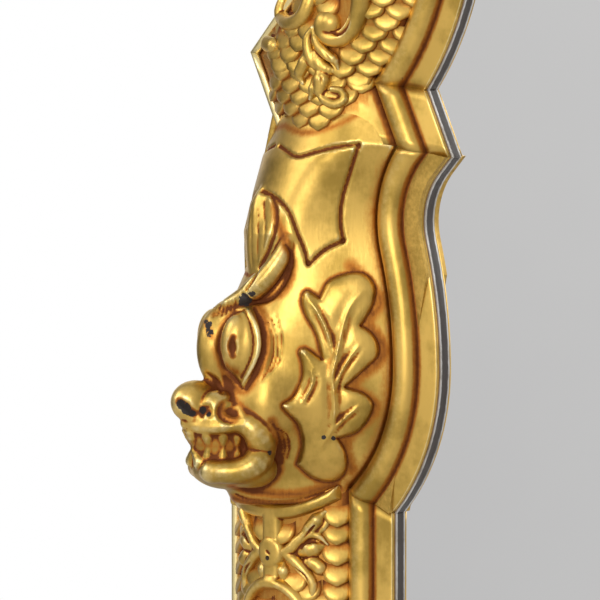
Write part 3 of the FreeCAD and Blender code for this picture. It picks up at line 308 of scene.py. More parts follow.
def neighbourMean(values, edges, count):
    total = np.zeros_like(values)
    for axis in range(values.shape[1]):
        total[:, axis] = (np.bincount(edges[:, 0], values[edges[:, 1], axis], count)
                          + np.bincount(edges[:, 1], values[edges[:, 0], axis], count))
    degree = np.bincount(edges[:, 0], None, count) + np.bincount(edges[:, 1], None, count)
    return total / np.maximum(degree, 1)[:, None]


def faceEdges(faces):
    pairs = np.concatenate([faces[:, [i, (i + 1) % faces.shape[1]]] for i in range(faces.shape[1])])
    return np.unique(np.sort(pairs, axis=1), axis=0)


def vertexNormals(points, faces):
    a, b, c = points[faces[:, 0]], points[faces[:, 1]], points[faces[:, 2]]
    normal = np.cross(b - a, c - a)
    if faces.shape[1] == 4:
        normal += np.cross(c - a, points[faces[:, 3]] - a)
    total = np.zeros_like(points)
    for corner in range(faces.shape[1]):
        for axis in range(3):
            total[:, axis] += np.bincount(faces[:, corner], normal[:, axis], len(points))
    return total / np.maximum(np.linalg.norm(total, axis=1), 1e-9)[:, None]


def hollowness(points, faces, near=6, far=30):  # how far a point lies below or above its surroundings, mm
    edges = faceEdges(faces)
    normal = vertexNormals(points, faces)
    soft = points.copy()
    made = []
    for step in range(1, far + 1):
        soft = neighbourMean(soft, edges, len(points))
        if step in (near, far):
            made.append(np.einsum("ij,ij->i", soft - points, normal))
    return made


mitreReach = 160.0      # how far past its ends a run is searched for its mitres, mm


# path of the bead's crest: lines and arcs in the wall plane, x and z in mm, headings clockwise from up
class bandRun:
    def __init__(self, start, heading):
        self.parts, self.length = [], 0.0
        self.end, self.heading = np.array(start, float), heading
        self.startHeading = heading
        self.start = self.end.copy()

    def outward(self, heading):
        a = np.radians(heading)
        return np.stack([-np.cos(a), np.sin(a)], axis=-1)

    def along(self, heading):
        a = np.radians(heading)
        return np.stack([np.sin(a), np.cos(a)], axis=-1)

    def line(self, length):
        self.parts.append((self.length, length, self.end.copy(), self.heading, 0.0))
        self.end = self.end + self.along(self.heading) * length
        self.length += length
        return self

    def arc(self, radius, turn):
        length = abs(math.radians(turn)) * radius
        self.parts.append((self.length, length, self.end.copy(), self.heading, turn / length))
        self.end, self.heading = self.spot(self.parts[-1], np.array(length))
        self.heading = float(self.heading)
        self.length += length
        return self

    def arcTo(self, finish):
        chord = np.array(finish) - self.end
        turn = 2 * (math.degrees(math.atan2(chord[0], chord[1])) - self.heading)
        return self.arc(abs(np.hypot(*chord) / (2 * math.sin(math.radians(turn / 2)))), turn)

    def spot(self, part, run):
        first, length, begin, heading, rate = part
        if rate == 0.0:
            return begin + self.along(heading) * run[..., None], heading + 0.0 * run
        radius = 1.0 / math.radians(rate)
        centre = begin - self.outward(heading) * radius
        now = heading + rate * run
        return centre + self.outward(now) * radius, now

    def at(self, s, offset):
        s, offset = np.broadcast_arrays(np.asarray(s, float), np.asarray(offset, float))
        place = np.zeros(s.shape + (2,))
        heading = np.zeros(s.shape)
        for i, part in enumerate(self.parts):
            last = i == len(self.parts) - 1
            inside = (s >= part[0] if i else s > -1e9) & ((s < part[0] + part[1]) | last)
            run = np.clip(s - part[0], 0, part[1])
            spot, now = self.spot(part, run)
            spot = spot + self.along(now) * (s - part[0] - run)[..., None]  # straight on past the ends
            place[inside], heading[inside] = spot[inside], now[inside]
        return place + self.outward(heading) * offset[..., None], heading

    def ends(self, offset, lines):  # where the run meets its two mitre lines, at each offset
        found = []
        for (point, direction), low, high in ((lines[0], -mitreReach, self.length * 0.5),
                                              (lines[1], self.length * 0.5, self.length + mitreReach)):
            across = np.array([direction[1], -direction[0]])
            a = np.full(np.shape(offset), low)
            b = np.full(np.shape(offset), high)
            side = np.sign((self.at(a, offset)[0] - point) @ across)
            for _ in range(40):
                m = (a + b) / 2
                same = np.sign((self.at(m, offset)[0] - point) @ across) == side
                a, b = np.where(same, m, a), np.where(same, b, m)
            found.append((a + b) / 2)
        return found


def mitreLine(point, before, after):
    run = bandRun(point, 0)
    total = run.outward(before) + run.outward(after)
    return np.array(point), total / np.linalg.norm(total)


c = contour
corner = np.array([-c["crestHalf"], cornerLevel])
cusp = corner + [c["cuspReach"], c["cuspRise"]]
notch = corner + [c["notchReach"], c["notchRise"]]
crook = notch + [0, c["scrollRise"]]
foot = np.array([-c["crestHalf"], c["crestLevel"]])
scrollRadius = ((c["scrollRise"] / 2) ** 2 + c["scrollBulge"] ** 2) / (2 * c["scrollBulge"])
scrollLean = 2 * math.degrees(math.atan2(c["scrollBulge"], c["scrollRise"] / 2))
archHalf = c["crestHalf"] - c["notchReach"]
archRadius = (archHalf ** 2 + c["archRise"] ** 2) / (2 * c["archRise"])
archTurn = 2 * math.degrees(math.atan2(c["archRise"], archHalf))
railRadius = (c["crestHalf"] ** 2 + c["bottomSag"] ** 2) / (2 * c["bottomSag"])
railTurn = 2 * math.degrees(math.asin(c["crestHalf"] / railRadius))
railRun = bandRun([c["crestHalf"], c["crestLevel"]], -90 - railTurn / 2).arc(railRadius, railTurn)
stileRun = bandRun(foot, 0).line(c["stileLength"])
shoulderRun = bandRun(corner, c["cornerLean"]).arc(c["bellyRadius"], -c["cornerLean"])
shoulderRun.arc(c["flankRadius"], -c["flankTurn"]).arcTo(cusp)
kneeWay = notch - cusp
kneeRun = bandRun(cusp, math.degrees(math.atan2(*kneeWay))).line(np.hypot(*kneeWay))
scrollRun = bandRun(notch, scrollLean).arc(scrollRadius, -2 * scrollLean)
archRun = bandRun(crook, 90 - archTurn).arc(archRadius, archTurn)
footMitre = mitreLine(foot, railRun.heading, 0)
rightFootMitre = (footMitre[0] * [-1, 1], footMitre[1] * [-1, 1])
cornerMitre = mitreLine(corner, 0, shoulderRun.startHeading)
cuspMitre = mitreLine(cusp, shoulderRun.heading, kneeRun.heading)
notchMitre = mitreLine(notch, kneeRun.heading, scrollRun.startHeading)
crookMitre = mitreLine(crook, scrollRun.heading, archRun.startHeading)
crownMitre = (np.array(archRun.end), np.array([0.0, 1.0]))
members = {
    "stile": (stileRun, (footMitre, cornerMitre), c["wideEdge"], c["wideCrest"]),
    "knee": (kneeRun, (cuspMitre, notchMitre), c["narrowEdge"], c["narrowCrest"]),
    "scroll": (scrollRun, (notchMitre, crookMitre), c["narrowEdge"], c["narrowCrest"]),
    "arch": (archRun, (crookMitre, crownMitre), c["narrowEdge"], c["narrowCrest"]),
    "rail": (railRun, (rightFootMitre, footMitre), c["wideEdge"], c["wideCrest"]),
}


def fieldDepth(offset, edge, crest):  # depth of the convex field at an offset from the bead's crest
    low, high = c["beadRadius"], edge - c["stripWidth"]
    half, sag = (high - low) / 2, crest - c["fieldEdge"]
    radius = (half ** 2 + sag ** 2) / (2 * sag)
    return crest - radius + np.sqrt(np.maximum(radius ** 2 - (offset - (low + high) / 2) ** 2, 0))


# gesso and leaf over the members' fronts: cove, bead, field and outer strip
skinLook = {"proud": 0.25, "wall": 0.6, "stationStep": 6.0, "shoulderStations": 60}

# photo pixels of the line above the mask where the scales end
scaleBorder = [(282, 121), (305, 132), (325, 130), (345, 120), (370, 103), (385, 90)]


def belowBorder(across, down):
    return down > np.interp(across, *zip(*scaleBorder))


def skinProfile(edge, crest, withField=True):
    s0, bead, front, footDepth = c["sightOffset"], c["beadRadius"], c["coveFront"], c["coveFoot"]
    # each row: offset from the bead's crest, depth, recess (painted shade and glaze) and rub (wear and
    # painted highlight)
    rows = [(s0, c["slipFront"] + 0.2, 0.5, 0.0), (s0, front - 0.5, 0.0, 0.3), (s0 + 0.3, front, 0.0, 0.8)]
    for k in np.linspace(0.08, 1, 10):  # shallow cove, with painted shade at its foot by the bead
        depth = front + (footDepth - front) * k
        rows.append((s0 + (-bead - s0) * k, depth, max(0.0, k - 0.72) * 3.4, 0.0))
    for a in np.linspace(0, math.pi, 25)[1:]:  # bead, with painted shade at its feet and wear and painted highlight along its crest
        edgeFade = abs(math.cos(a))
        rows.append((-bead * math.cos(a), footDepth + bead * math.sin(a), max(0, edgeFade - 0.80) * 4.5,
                     max(0.0, math.sin(a) - 0.55) * 0.9))
    if withField:
        high = edge - c["stripWidth"]
        # the field's ground, glazed and with painted shade, darkest at its edges by the bead and the strip
        rows.append((bead + 0.1, c["fieldEdge"] - 1.4, 1.0, 0.0))
        for k in np.linspace(0.004, 0.996, 40):
            offset = bead + (high - bead) * k
            recess = 0.45 + 0.5 * max(0, 1 - min(k, 1 - k) * 14)
            rows.append((offset, fieldDepth(offset, edge, crest), recess, 0.0))
        half = c["stripWidth"] / 2
        for a in np.linspace(0, math.pi, 11):  # outer strip, with painted shade at its inner foot and wear and painted highlight along its crest
            sunk = 0.8 if a == 0 else 0.0
            depth = c["fieldEdge"] + c["stripRise"] * math.sin(a) - sunk
            rows.append((high + half - half * math.cos(a), depth, sunk, math.sin(a)))
        rows += [(edge, c["fieldEdge"] - 3, 0.1, 0.2), (edge, 14.0, 0.2, 0.0), (edge, 1.0, 0.5, 0.0)]
    else:
        rows += [(bead + 0.1, footDepth - 0.3, 1.0, 0.0)]
    return np.array(rows)


def sweepSkin(name, run, lines, rows, stations=None):
    offset, depth = rows[:, 0], rows[:, 1]
    tangent = np.gradient(np.stack([offset, depth], 1), axis=0)
    normal = np.stack([-tangent[:, 1], tangent[:, 0]], 1)
    normal /= np.maximum(np.linalg.norm(normal, axis=1), 1e-6)[:, None]
    count = stations or max(6, int(run.length / skinLook["stationStep"]))
    k = np.linspace(0, 1, count + 1)[:, None]
    layers = []
    for shift in (skinLook["proud"], -skinLook["wall"]):
        o = offset + normal[:, 0] * shift
        d = depth + normal[:, 1] * shift
        first, last = run.ends(o, lines)
        place, _ = run.at(first + (last - first) * k, o)
        layers.append(np.stack([place[..., 0], np.broadcast_to(-d, place.shape[:2]), place[..., 1]], -1))
    n, m = layers[0].shape[:2]
    ring = np.concatenate([layers[0], layers[1][:, ::-1]], axis=1)  # closed round the section
    points = ring.reshape(-1, 3)
    width = 2 * m
    i, j = np.meshgrid(np.arange(n - 1), np.arange(width), indexing="ij")
    a = i * width + j
    b = i * width + (j + 1) % width
    faces = np.stack([a, b, b + width, a + width], -1).reshape(-1, 4)
    caps = []
    for row, flip in ((0, False), (n - 1, True)):
        j = np.arange(m - 1)
        outer, inner = row * width + j, row * width + width - 1 - j
        quad = np.stack([outer, inner, inner - 1, outer + 1], -1)
        caps.append(quad[:, ::-1] if flip else quad)
    faces = np.concatenate([faces] + caps)[:, ::-1]
    cavity = np.tile(np.concatenate([rows[:, 2], rows[::-1, 2]]), n)
    rub = np.tile(np.concatenate([rows[:, 3], rows[::-1, 3]]), n)
    if "knee" in name:  # plain burnished gold where the scales stop above the mask
        across, down = rowToPhoto(points)
        onGround = np.tile(np.concatenate([offset, offset[::-1]]), n) > c["beadRadius"] + 2
        cavity = np.where(onGround & belowBorder(across, down), cavity * 0.2, cavity)
    tones = {"cavity": np.clip(cavity, 0, 1), "rub": np.clip(rub, 0, 1)}
    return newPiece(name, points * mm, faces, tones)


for name, (run, lines, edge, crest) in members.items():
    side = "" if name == "rail" else "left_"
    skin = sweepSkin(side + name + "_leaf", run, lines, skinProfile(edge, crest))
    if side:
        dressPair(skin, name + "_leaf")
    else:
        dress(skin)
shoulderLines, shoulderRows = (cornerMitre, cuspMitre), skinProfile(0, 0, False)
shoulderSkin = sweepSkin("left_shoulder_leaf", shoulderRun, shoulderLines, shoulderRows,
                         skinLook["shoulderStations"])
dressPair(shoulderSkin, "shoulder_leaf")
print("member skins done")

farOff = 9.0        # field value well outside a carving, mm
shapeRoom = 4.0     # how far beyond its blend a shape is worked out, mm


# carving: a distance field in a block, shaped by balls, strokes and cuts, then meshed
class carving:
    def __init__(self, low, high, voxel):
        self.low, self.voxel = np.array(low, float), voxel
        self.shape = tuple(int(n) for n in np.ceil((np.array(high) - self.low) / voxel) + 1)
        self.field = np.full(self.shape, farOff, np.float32)

    def axes(self, spans=None):
        spans = spans or [slice(0, n) for n in self.shape]
        return [(self.low[i] + self.voxel * np.arange(s.start, s.stop, dtype=np.float32)).reshape(
            [-1 if k == i else 1 for k in range(3)]) for i, s in enumerate(spans)]

    def window(self, low, high, room):
        first = np.floor((np.array(low) - room - self.low) / self.voxel).astype(int)
        last = np.ceil((np.array(high) + room - self.low) / self.voxel).astype(int) + 1
        return [slice(max(0, int(a)), min(n, int(b))) for a, b, n in zip(first, last, self.shape)]

    def join(self, spans, shape, blend, cut):
        if any(s.stop <= s.start for s in spans):
            return
        old = self.field[tuple(spans)]
        a, b = (-old, shape) if cut else (old, shape)
        h = np.maximum(blend - np.abs(a - b), 0) / max(blend, 1e-6)
        made = np.minimum(a, b) - h * h * blend * 0.25
        self.field[tuple(spans)] = -made if cut else made

    def ball(self, centre, radii, blend=2.0, cut=False, turn=(0, 0, 0), twin=False):
        spin = np.array(Euler([math.radians(t) for t in turn]).to_matrix())
        reach = np.abs(spin) @ np.array(radii, float)
        spans = self.window(np.array(centre) - reach, np.array(centre) + reach, blend + shapeRoom)
        p = [axis - centre[i] for i, axis in enumerate(self.axes(spans))]
        q = [sum(spin[i, k] * p[i] for i in range(3)) for k in range(3)]
        near = np.sqrt(sum((q[k] / radii[k]) ** 2 for k in range(3)))
        far = np.sqrt(sum((q[k] / radii[k] ** 2) ** 2 for k in range(3)))
        self.join(spans, (near * (near - 1) / np.maximum(far, 1e-6)).astype(np.float32), blend, cut)
        if twin:
            self.ball((-centre[0], centre[1], centre[2]), radii, blend, cut, (turn[0], -turn[1], -turn[2]))

    def stroke(self, points, radii, blend=2.0, cut=False, twin=False):
        points = np.asarray(points, float)
        radii = np.broadcast_to(np.asarray(radii, float), len(points))
        most = radii.max()
        spans = self.window(points.min(0) - most, points.max(0) + most, blend + shapeRoom)
        if all(s.stop > s.start for s in spans):
            x, y, z = self.axes(spans)
            best = None
            for a, b, ra, rb in zip(points[:-1], points[1:], radii[:-1], radii[1:]):
                way = b - a
                size = max(way @ way, 1e-9)
                k = np.clip(((x - a[0]) * way[0] + (y - a[1]) * way[1] + (z - a[2]) * way[2]) / size, 0, 1)
                d = np.sqrt((x - a[0] - k * way[0]) ** 2 + (y - a[1] - k * way[1]) ** 2
                            + (z - a[2] - k * way[2]) ** 2) - (ra + (rb - ra) * k)
                best = d if best is None else np.minimum(best, d)
            self.join(spans, best.astype(np.float32), blend, cut)
        if twin:
            self.stroke(points * [-1, 1, 1], radii, blend, cut)

    def keepWithin(self, other, blend=2.0):
        shape = -np.broadcast_to(other, self.shape).astype(np.float32)
        self.join([slice(0, n) for n in self.shape], shape, blend, True)

    def sample(self, points, other=None):
        field = self.field if other is None else other
        g = np.clip((points - self.low) / self.voxel, 0, np.array(self.shape) - 1.001)
        i = g.astype(int)
        t = g - i
        total = 0.0
        for corner in np.ndindex(2, 2, 2):
            weight = np.prod([t[:, k] if corner[k] else 1 - t[:, k] for k in range(3)], axis=0)
            total = total + weight * field[i[:, 0] + corner[0], i[:, 1] + corner[1], i[:, 2] + corner[2]]
        return total

    def meet(self, starts, direction, reach=130.0, step=0.5):  # first surface point along a ray
        s = np.arange(-reach, reach, step)
        high = self.low + self.voxel * (np.array(self.shape) - 1)
        found = []
        for start in starts:
            line = start + s[:, None] * direction
            inside = np.all((line > self.low) & (line < high), axis=1)
            value = np.where(inside, self.sample(line), farOff)
            hit = np.nonzero(value <= 0)[0]
            if len(hit):
                i = max(hit[0], 1)
                k = value[i - 1] / (value[i - 1] - value[i] + 1e-9)
                found.append(line[i - 1] + (line[i] - line[i - 1]) * k)
        return np.array(found)

    def mesh(self):
        self.field[[0, -1]] = farOff
        self.field[:, [0, -1]] = farOff
        self.field[:, :, [0, -1]] = farOff
        grid = openvdb.FloatGrid(farOff)
        grid.copyFromArray(self.field)
        points, quads = grid.convertToQuads(0.0)
        points = np.asarray(points, float) * self.voxel + self.low
        quads = np.asarray(quads, np.int64)
        a, b, cc, d = (points[quads[:, k]] for k in range(4))
        volume = sum(np.einsum("ij,ij->i", a, np.cross(*pair)).sum() for pair in ((b, cc), (cc, d)))
        if volume < 0:      # faces outwards
            quads = quads[:, ::-1]
        return points, quads


def smoothLine(points, step=3.0):  # a soft curve through a few points
    points = np.asarray(points, float)
    ends = np.vstack([2 * points[0] - points[1], points, 2 * points[-1] - points[-2]])
    made = []
    for i in range(1, len(ends) - 2):
        a, b, cc, d = ends[i - 1:i + 3]
        count = max(2, int(np.linalg.norm(cc - b) / step))
        t = np.linspace(0, 1, count, endpoint=False)[:, None]
        made.append(0.5 * (2 * b + (cc - a) * t + (2 * a - 5 * b + 4 * cc - d) * t ** 2
                           + (3 * b - a - 3 * cc + d) * t ** 3))
    return np.vstack(made + [points[-1:]])


# recess (painted shade and glaze) and rub (wear and painted highlight) for each mm below or above the near
# and the far surroundings, and the most that far gives
toneLook = {"nearRecess": 3.4, "farRecess": 0.75, "recessMost": 0.8, "nearWearAndHighlight": 1.6, "wearAndHighlightShare": 0.8,
            "farWearAndHighlight": 0.30, "wearAndHighlightMost": 0.5}


def toneOf(points, faces, scale=1.0):  # painted shade and glaze in the recesses, wear and painted highlight on the proud parts, for the gilding
    near, far = hollowness(points, faces)
    look = toneLook
    cavity = np.clip(near * look["nearRecess"] / scale, 0, 1)
    cavity += np.clip(far * look["farRecess"] / scale, 0, look["recessMost"])
    rub = np.clip(-near * look["nearWearAndHighlight"] / scale, 0, 1) * look["wearAndHighlightShare"]
    rub += np.clip(-far * look["farWearAndHighlight"] / scale, 0, look["wearAndHighlightMost"])
    return {"cavity": np.clip(cavity, 0, 1), "rub": np.clip(rub, 0, 1)}


# beast mask
maskLook = {"voxel": 0.88, "neckX": -331.0, "neckDepth": 45.0, "yaw": 25.0, "seat": 25.0,
            "block": ((-62, -64, -14), (76, 60, 208)), "groundRise": 29.0,
            "groundSlope": 0.85, "besideBead": 8.2, "planX": (-420, -200, 1.0), "planZ": (655, 895, 1.0)}
yaw = math.radians(maskLook["yaw"])
headSide = np.array([math.cos(yaw), -math.sin(yaw), 0.0])
headFront = np.array([-math.sin(yaw), -math.cos(yaw), 0.0])
headUp = np.array([0.0, 0.0, 1.0])
headAxes = np.stack([headSide, headFront, headUp])
neck = np.array([maskLook["neckX"], -maskLook["neckDepth"], cornerLevel])


def headToRow(points):
    return neck + np.asarray(points) @ headAxes


def rowToHead(points):
    return (np.asarray(points) - neck) @ headAxes.T


def curveAt(rows, x):
    rows = np.array(rows, float)
    return np.interp(x, rows[:, 0], rows[:, 1])


# the bare head: height and reach of its profile, height and roundness of its level sections
profileRows = [(-14, 16), (0, 22), (20, 26), (45, 27), (65, 25), (85, 23), (100, 17), (110, 12), (131, 12),
               (152, 6), (168, 1), (180, -5), (190, -9), (208, -15)]
spreadRows = [(-14, 0.0165), (20, 0.0172), (80, 0.0166), (117, 0.0135), (130, 0.0120), (152, 0.0108),
              (177, 0.0098), (208, 0.0098)]
head = carving(*maskLook["block"], maskLook["voxel"])
u, f, z = head.axes()
front = curveAt(profileRows, z) - curveAt(spreadRows, z) * u ** 2
slope = np.sqrt(1 + (2 * curveAt(spreadRows, z) * u) ** 2)
head.field = np.broadcast_to((f - front) / slope, head.shape).astype(np.float32).copy()

# keep it between the bead and the strip, on the ground, and below the scale border
rowX = neck[0] + headSide[0] * u + headFront[0] * f + 0 * z
depth = -(neck[1] + headSide[1] * u + headFront[1] * f) + 0 * z
stileTop = np.linspace(stileRun.length - 40, stileRun.length, 12)
pathPoints = np.vstack([shoulderRun.at(np.linspace(0, shoulderRun.length, 160), 0)[0],
                        kneeRun.at(np.linspace(0, kneeRun.length, 24), 0)[0], stileRun.at(stileTop, 0)[0]])
planX, planZ = np.arange(*maskLook["planX"]), np.arange(*maskLook["planZ"])
acrossPlan, upPlan = planX[:, None, None] - pathPoints[:, 0], planZ[None, :, None] - pathPoints[:, 1]
away = np.min(np.hypot(acrossPlan, upPlan), axis=2)
byHeight = pathPoints[np.argsort(pathPoints[:, 1])]
beadX = np.interp(planZ, byHeight[:, 1], byHeight[:, 0])
away = np.where(planX[:, None] > beadX[None, :], -away, away)
gx = np.clip(rowX - planX[0], 0, len(planX) - 1.001)
gz = np.clip(z + cornerLevel - planZ[0], 0, len(planZ) - 1.001)
ix, iz = gx.astype(int), gz.astype(int)
tx, tz = gx - ix, gz - iz
fromBead = ((away[ix, iz] * (1 - tx) + away[ix + 1, iz] * tx) * (1 - tz)
            + (away[ix, iz + 1] * (1 - tx) + away[ix + 1, iz + 1] * tx) * tz)
overGround = depth - maskLook["groundRise"] - maskLook["groundSlope"] * (fromBead - c["beadRadius"])
head.keepWithin(overGround * 0.76, 5.0)
topRows = [(-62, 196), (0, 194), (30, 194), (76, 204)]
head.keepWithin((z - curveAt(topRows, u)) * 0.9 + 0 * f, 3.0)
bottomRows = [(-62, 2), (-35, -5), (0, -5.5), (35, -3.2), (50, 4.5), (70, 9)]
head.keepWithin(curveAt(bottomRows, u) - z + 0 * f, 3.0)

# muzzle, cheeks, jaw
head.ball((0, 24, 37), (18, 22, 19), 10)
head.ball((0, 25.5, 25), (16, 17.6, 13), 4)                  # gums fill the mouth
head.ball((18, 11, 46), (13, 12, 20), 9, twin=True)
head.ball((0, 25, 13), (20, 17, 10), 6)
head.ball((16, 16, 14), (10, 11, 9), 5, twin=True)
bare = head.field.copy()                                     # the ground that the leaves lie on
head.ball((0, 29, 74), (9.5, 11.5, 20), 6)                   # bridge
head.ball((0, 20, 91), (11, 10, 8), 6)                       # glabella
head.ball((13, 19, 77), (13, 12.4, 19), 6, twin=True)        # eye mound
browLine = smoothLine([(23.5, 1, 129), (23, 6, 119), (19, 12.5, 109), (12, 19.5, 101), (5, 25.5, 96)])
browWide = np.interp(np.linspace(0, 1, len(browLine)), [0, .25, .6, 1], [3.4, 5.0, 5.9, 3.8])
head.stroke(browLine, browWide, 1.0)
# the far brow lies back, out of the profile
head.stroke(browLine * [-0.72, 1, 1] - [0, 7.5, 0], browWide * 0.55, 1.0)
head.ball((0, 4.5, 127), (9.5, 9, 27), 2.0)                  # forelock
head.ball((15.0, 25.0, 77), (8.6, 9.0, 15.4), 0.4, turn=(0, 6, 0), twin=True)   # eyeball
head.ball((0, 42, 47.5), (9.5, 12.6, 10.8), 3.0)             # nose
head.ball((10.5, 34, 44), (6.2, 9.0, 10.0), 1.6, turn=(0, 0, 18), twin=True)

# strokes laid where the photograph has them, on the near side, and mirrored
viewHead = headAxes @ viewBack


def onHead(pixels, lift=0.0, step=4.0):
    line = smoothLine(np.array(pixels, float), step) if len(pixels) > 1 else np.array(pixels, float)
    starts = np.array([rowToHead(photoToRow(px, py)) for px, py in line])
    return head.meet(starts, -viewHead) + viewHead * lift


def fold(pixels, radii, blend=0.8, lift=0.0, cut=False):
    line = onHead(pixels, lift)
    if len(line) > 1:
        head.stroke(line, evenly(radii, len(line)), blend, cut, True)


mouthRoll = {"line": [(187, 423), (200, 426), (220, 426), (240, 422), (254, 428), (262, 445), (256, 462),
                      (240, 470), (222, 471), (212, 471)],
             "radii": [2.8, 3.4, 4.0, 5.0, 6.6, 7.4, 7.2, 6.4, 6.0, 5.4], "lift": -1.2}
# across the photo, then gum and tip of each row; half width and lift at base and tip, mm
toothRows = {"places": [193.5, 208.5, 223.5, 237.5], "upper": (431, 447), "lower": (460, 445),
             "base": (4.2, -2.7), "tip": (0.35, 0.1)}
farLip = {"back": 2.2, "slim": 0.92, "bow": 0.4}
lipLine = onHead(mouthRoll["line"], mouthRoll["lift"])
lipWide = evenly(mouthRoll["radii"], len(lipLine))
toothLines = [onHead([(px, gum), (px, tip)]) for px in toothRows["places"]
              for gum, tip in (toothRows["upper"], toothRows["lower"])]
fold([(192, 417), (204, 419), (222, 418), (240, 414)], [2.6, 3.4, 3.8, 4.2], 1.6, -2.0)     # under the nose
farLine, farWide = lipLine * [-1, 1, 1] - [0, farLip["back"], 0], lipWide * farLip["slim"]
head.stroke(lipLine, lipWide, 1.6)
head.stroke(farLine, farWide, 1.6)
for k in (0, -1):   # across the front of the muzzle
    middle = (lipLine[k] + farLine[k]) / 2 + [0, farLip["bow"], 0]
    head.stroke([lipLine[k], middle, farLine[k]], [lipWide[k], lipWide[k], farWide[k]], 1.8)
for line in toothLines:
    wide, lift = (np.linspace(toothRows["base"][k], toothRows["tip"][k], len(line)) for k in (0, 1))
    head.stroke(line + viewHead * lift[:, None], wide, 0.3, twin=True)
# nose and eye in the order they are cut: photo points, radii, blend, lift and whether it is a cut
features = {
    "noseRoot": ([(208, 374), (216, 380), (222, 392)], [0.8, 1.0, 0.8], 1.2, 0.0, True),
    "nostrils": ([(180, 401), (186, 406), (193, 412)], [2.4, 3.0, 1.6], 0.8, 1.5, True),
    "nearNostril": ([(201, 416), (203, 409), (208, 406), (210, 415)], [1.6, 2.2, 2.0, 1.4], 0.8, 1.1, True),
    "behindWing": ([(232, 398), (225, 402), (220, 408), (221, 416), (230, 421), (242, 421)],
                   [0.8, 1.4, 1.8, 1.8, 1.6, 0.9], 0.8, 0.6, True),
    "wingHollow": ([(226, 409), (233, 411), (239, 415)], [2.6, 3.2, 2.2], 1.6, 1.8, True),
    "eyeFront": ([(245, 309), (233, 313), (224, 326), (220, 346), (224, 364), (233, 377), (242, 387)],
                 [0.8, 1.6, 2.1, 2.5, 2.4, 1.8, 0.9], 0.8, 0.3, True),
    "eyeBack": ([(246, 310), (251, 325), (254, 344), (250, 361), (241, 378)],
                [0.7, 0.9, 0.9, 0.9, 0.7], 0.6, 0.2, True),
    "lid": ([(248, 310), (256, 326), (259, 345), (254, 364), (243, 384)],
            [0.8, 1.7, 2.0, 1.8, 0.9], 1.0, -0.4, False),
    "lidFold": ([(255, 308), (263, 325), (265, 347), (258, 368), (246, 388)],
                [0.8, 1.5, 1.7, 1.5, 0.9], 1.6, 0.3, True),
    "slitPupil": ([(233, 334), (232, 345), (233, 357)], [0.9, 3.3, 0.9], 0.3, 1.0, True),
}
for feature in features.values():
    fold(*feature)
engraved = {
    "shield": ([[(279, 146), (287, 152), (297, 157), (318, 152), (338, 148), (358, 146)],
                [(358, 147), (349, 176), (342, 200), (340, 222), (343, 241)],
                [(343, 241), (325, 250), (309, 264)],
                [(308, 264), (304, 250), (297, 233), (288, 212), (276, 199), (262, 191)]], [1.2, 1.2]),
    "temple": ([[(268 + k, 322 - k), (274 + k, 340), (272 + k, 360), (262 + k, 380 - k)] for k in (0, 4, 8)],
               [0.3, 0.6, 0.3]),
    "cheek": ([[(270 + k, 420 + k), (279 + k, 434), (281 + k, 450), (278 + k, 468 - k)] for k in (0, 4, 8)],
              [0.4, 0.8, 0.4]),
    "forelock": ([[(252, 204), (251, 232), (252, 268)], [(258, 200), (258, 232), (257, 268)],
                  [(264, 202), (265, 228), (262, 258)]], [0.3, 0.5, 0.3]),
    "browFoot": ([[(243, 294), (250, 300), (258, 302), (272, 298), (284, 284), (291, 267), (291, 252),
                   (285, 244)]], [0.8, 1.1, 1.2, 1.1, 0.7]),
    "neck": ([[(236, 495), (245, 499), (268, 502), (293, 501), (317, 495), (339, 487)]], [0.8, 0.8]),
    "browRoot": ([[(272, 196), (276, 216), (270, 244), (256, 274), (246, 290)]], [0.9, 1.8, 1.6, 0.8]),
    "hatching": ([[(px, 301 + (236 - px) * 0.28), (px - 2, 312 + (236 - px) * 0.25)]
                  for px in range(216, 240, 4)], [0.6, 0.6]),
}
for lines, radii in engraved.values():
    for line in lines:
        fold(line, radii, 0.6, cut=True)
glazeAndShadeLines = {  # where brown glaze has gathered, darkened as painted shade too, most of all under the jaw, above the collar, round the eye, in the nostrils and under the scales: line, reach in mm, strength
    "brow": ([(276, 205), (279, 224), (288, 250), (292, 268), (284, 290), (266, 302)], 5.0, 0.75),
    "eyeRound": ([(258, 304), (266, 324), (268, 348), (260, 372), (244, 392), (226, 374), (217, 350)],
                 4.6, 0.62),
    "eyeWhite": ([(228, 366), (238, 372)], 5.0, 0.55),
    "eyeFront": ([(234, 312), (223, 327), (218, 346), (222, 366), (236, 382)], 3.4, 0.75),
    "pupil": ([(234, 337), (231, 345), (233, 355)], 2.6, 1.2),
    "noseRoot": ([(214, 382), (224, 390), (236, 398), (248, 412)], 5.0, 0.52),
    "wing": ([(222, 404), (221, 414), (236, 418)], 4.0, 0.75),
    "nostrils": ([(180, 401), (193, 412)], 3.0, 1.3),
    "nearNostril": ([(203, 414), (205, 408), (209, 412)], 2.4, 1.3),
    "gums": ([(186, 441), (204, 445), (224, 446), (242, 446)], 3.4, 0.50),
    "lipCorner": ([(272, 420), (280, 440), (279, 466)], 4.6, 0.75),
    # painted shade under the jaw, and painted shadow above the collar along the neck rim
    "jaw": ([(232, 486), (262, 493), (300, 494), (336, 484)], 4.6, 0.80),
    "neckRim": ([(230, 497), (250, 502), (280, 504), (310, 501), (340, 489)], 4.2, 0.85),
    "hatched": ([(214, 314), (236, 306), (250, 302)], 4.6, 0.55),
    "bridge": ([(206, 322), (212, 336)], 4.0, 0.6),
    # painted shade under the scales
    "crown": ([(278, 122), (300, 133), (325, 131), (350, 120), (372, 106)], 4.0, 0.6),
    "beadSide": ([(388, 170), (378, 210), (382, 250), (390, 290), (394, 350), (388, 410), (372, 462),
                  (350, 488)], 9.0, 0.62),
    "leafSide": ([(350, 266), (380, 300), (368, 322), (384, 352), (354, 384), (376, 408), (346, 440),
                  (352, 470)], 6.5, 0.72),
}
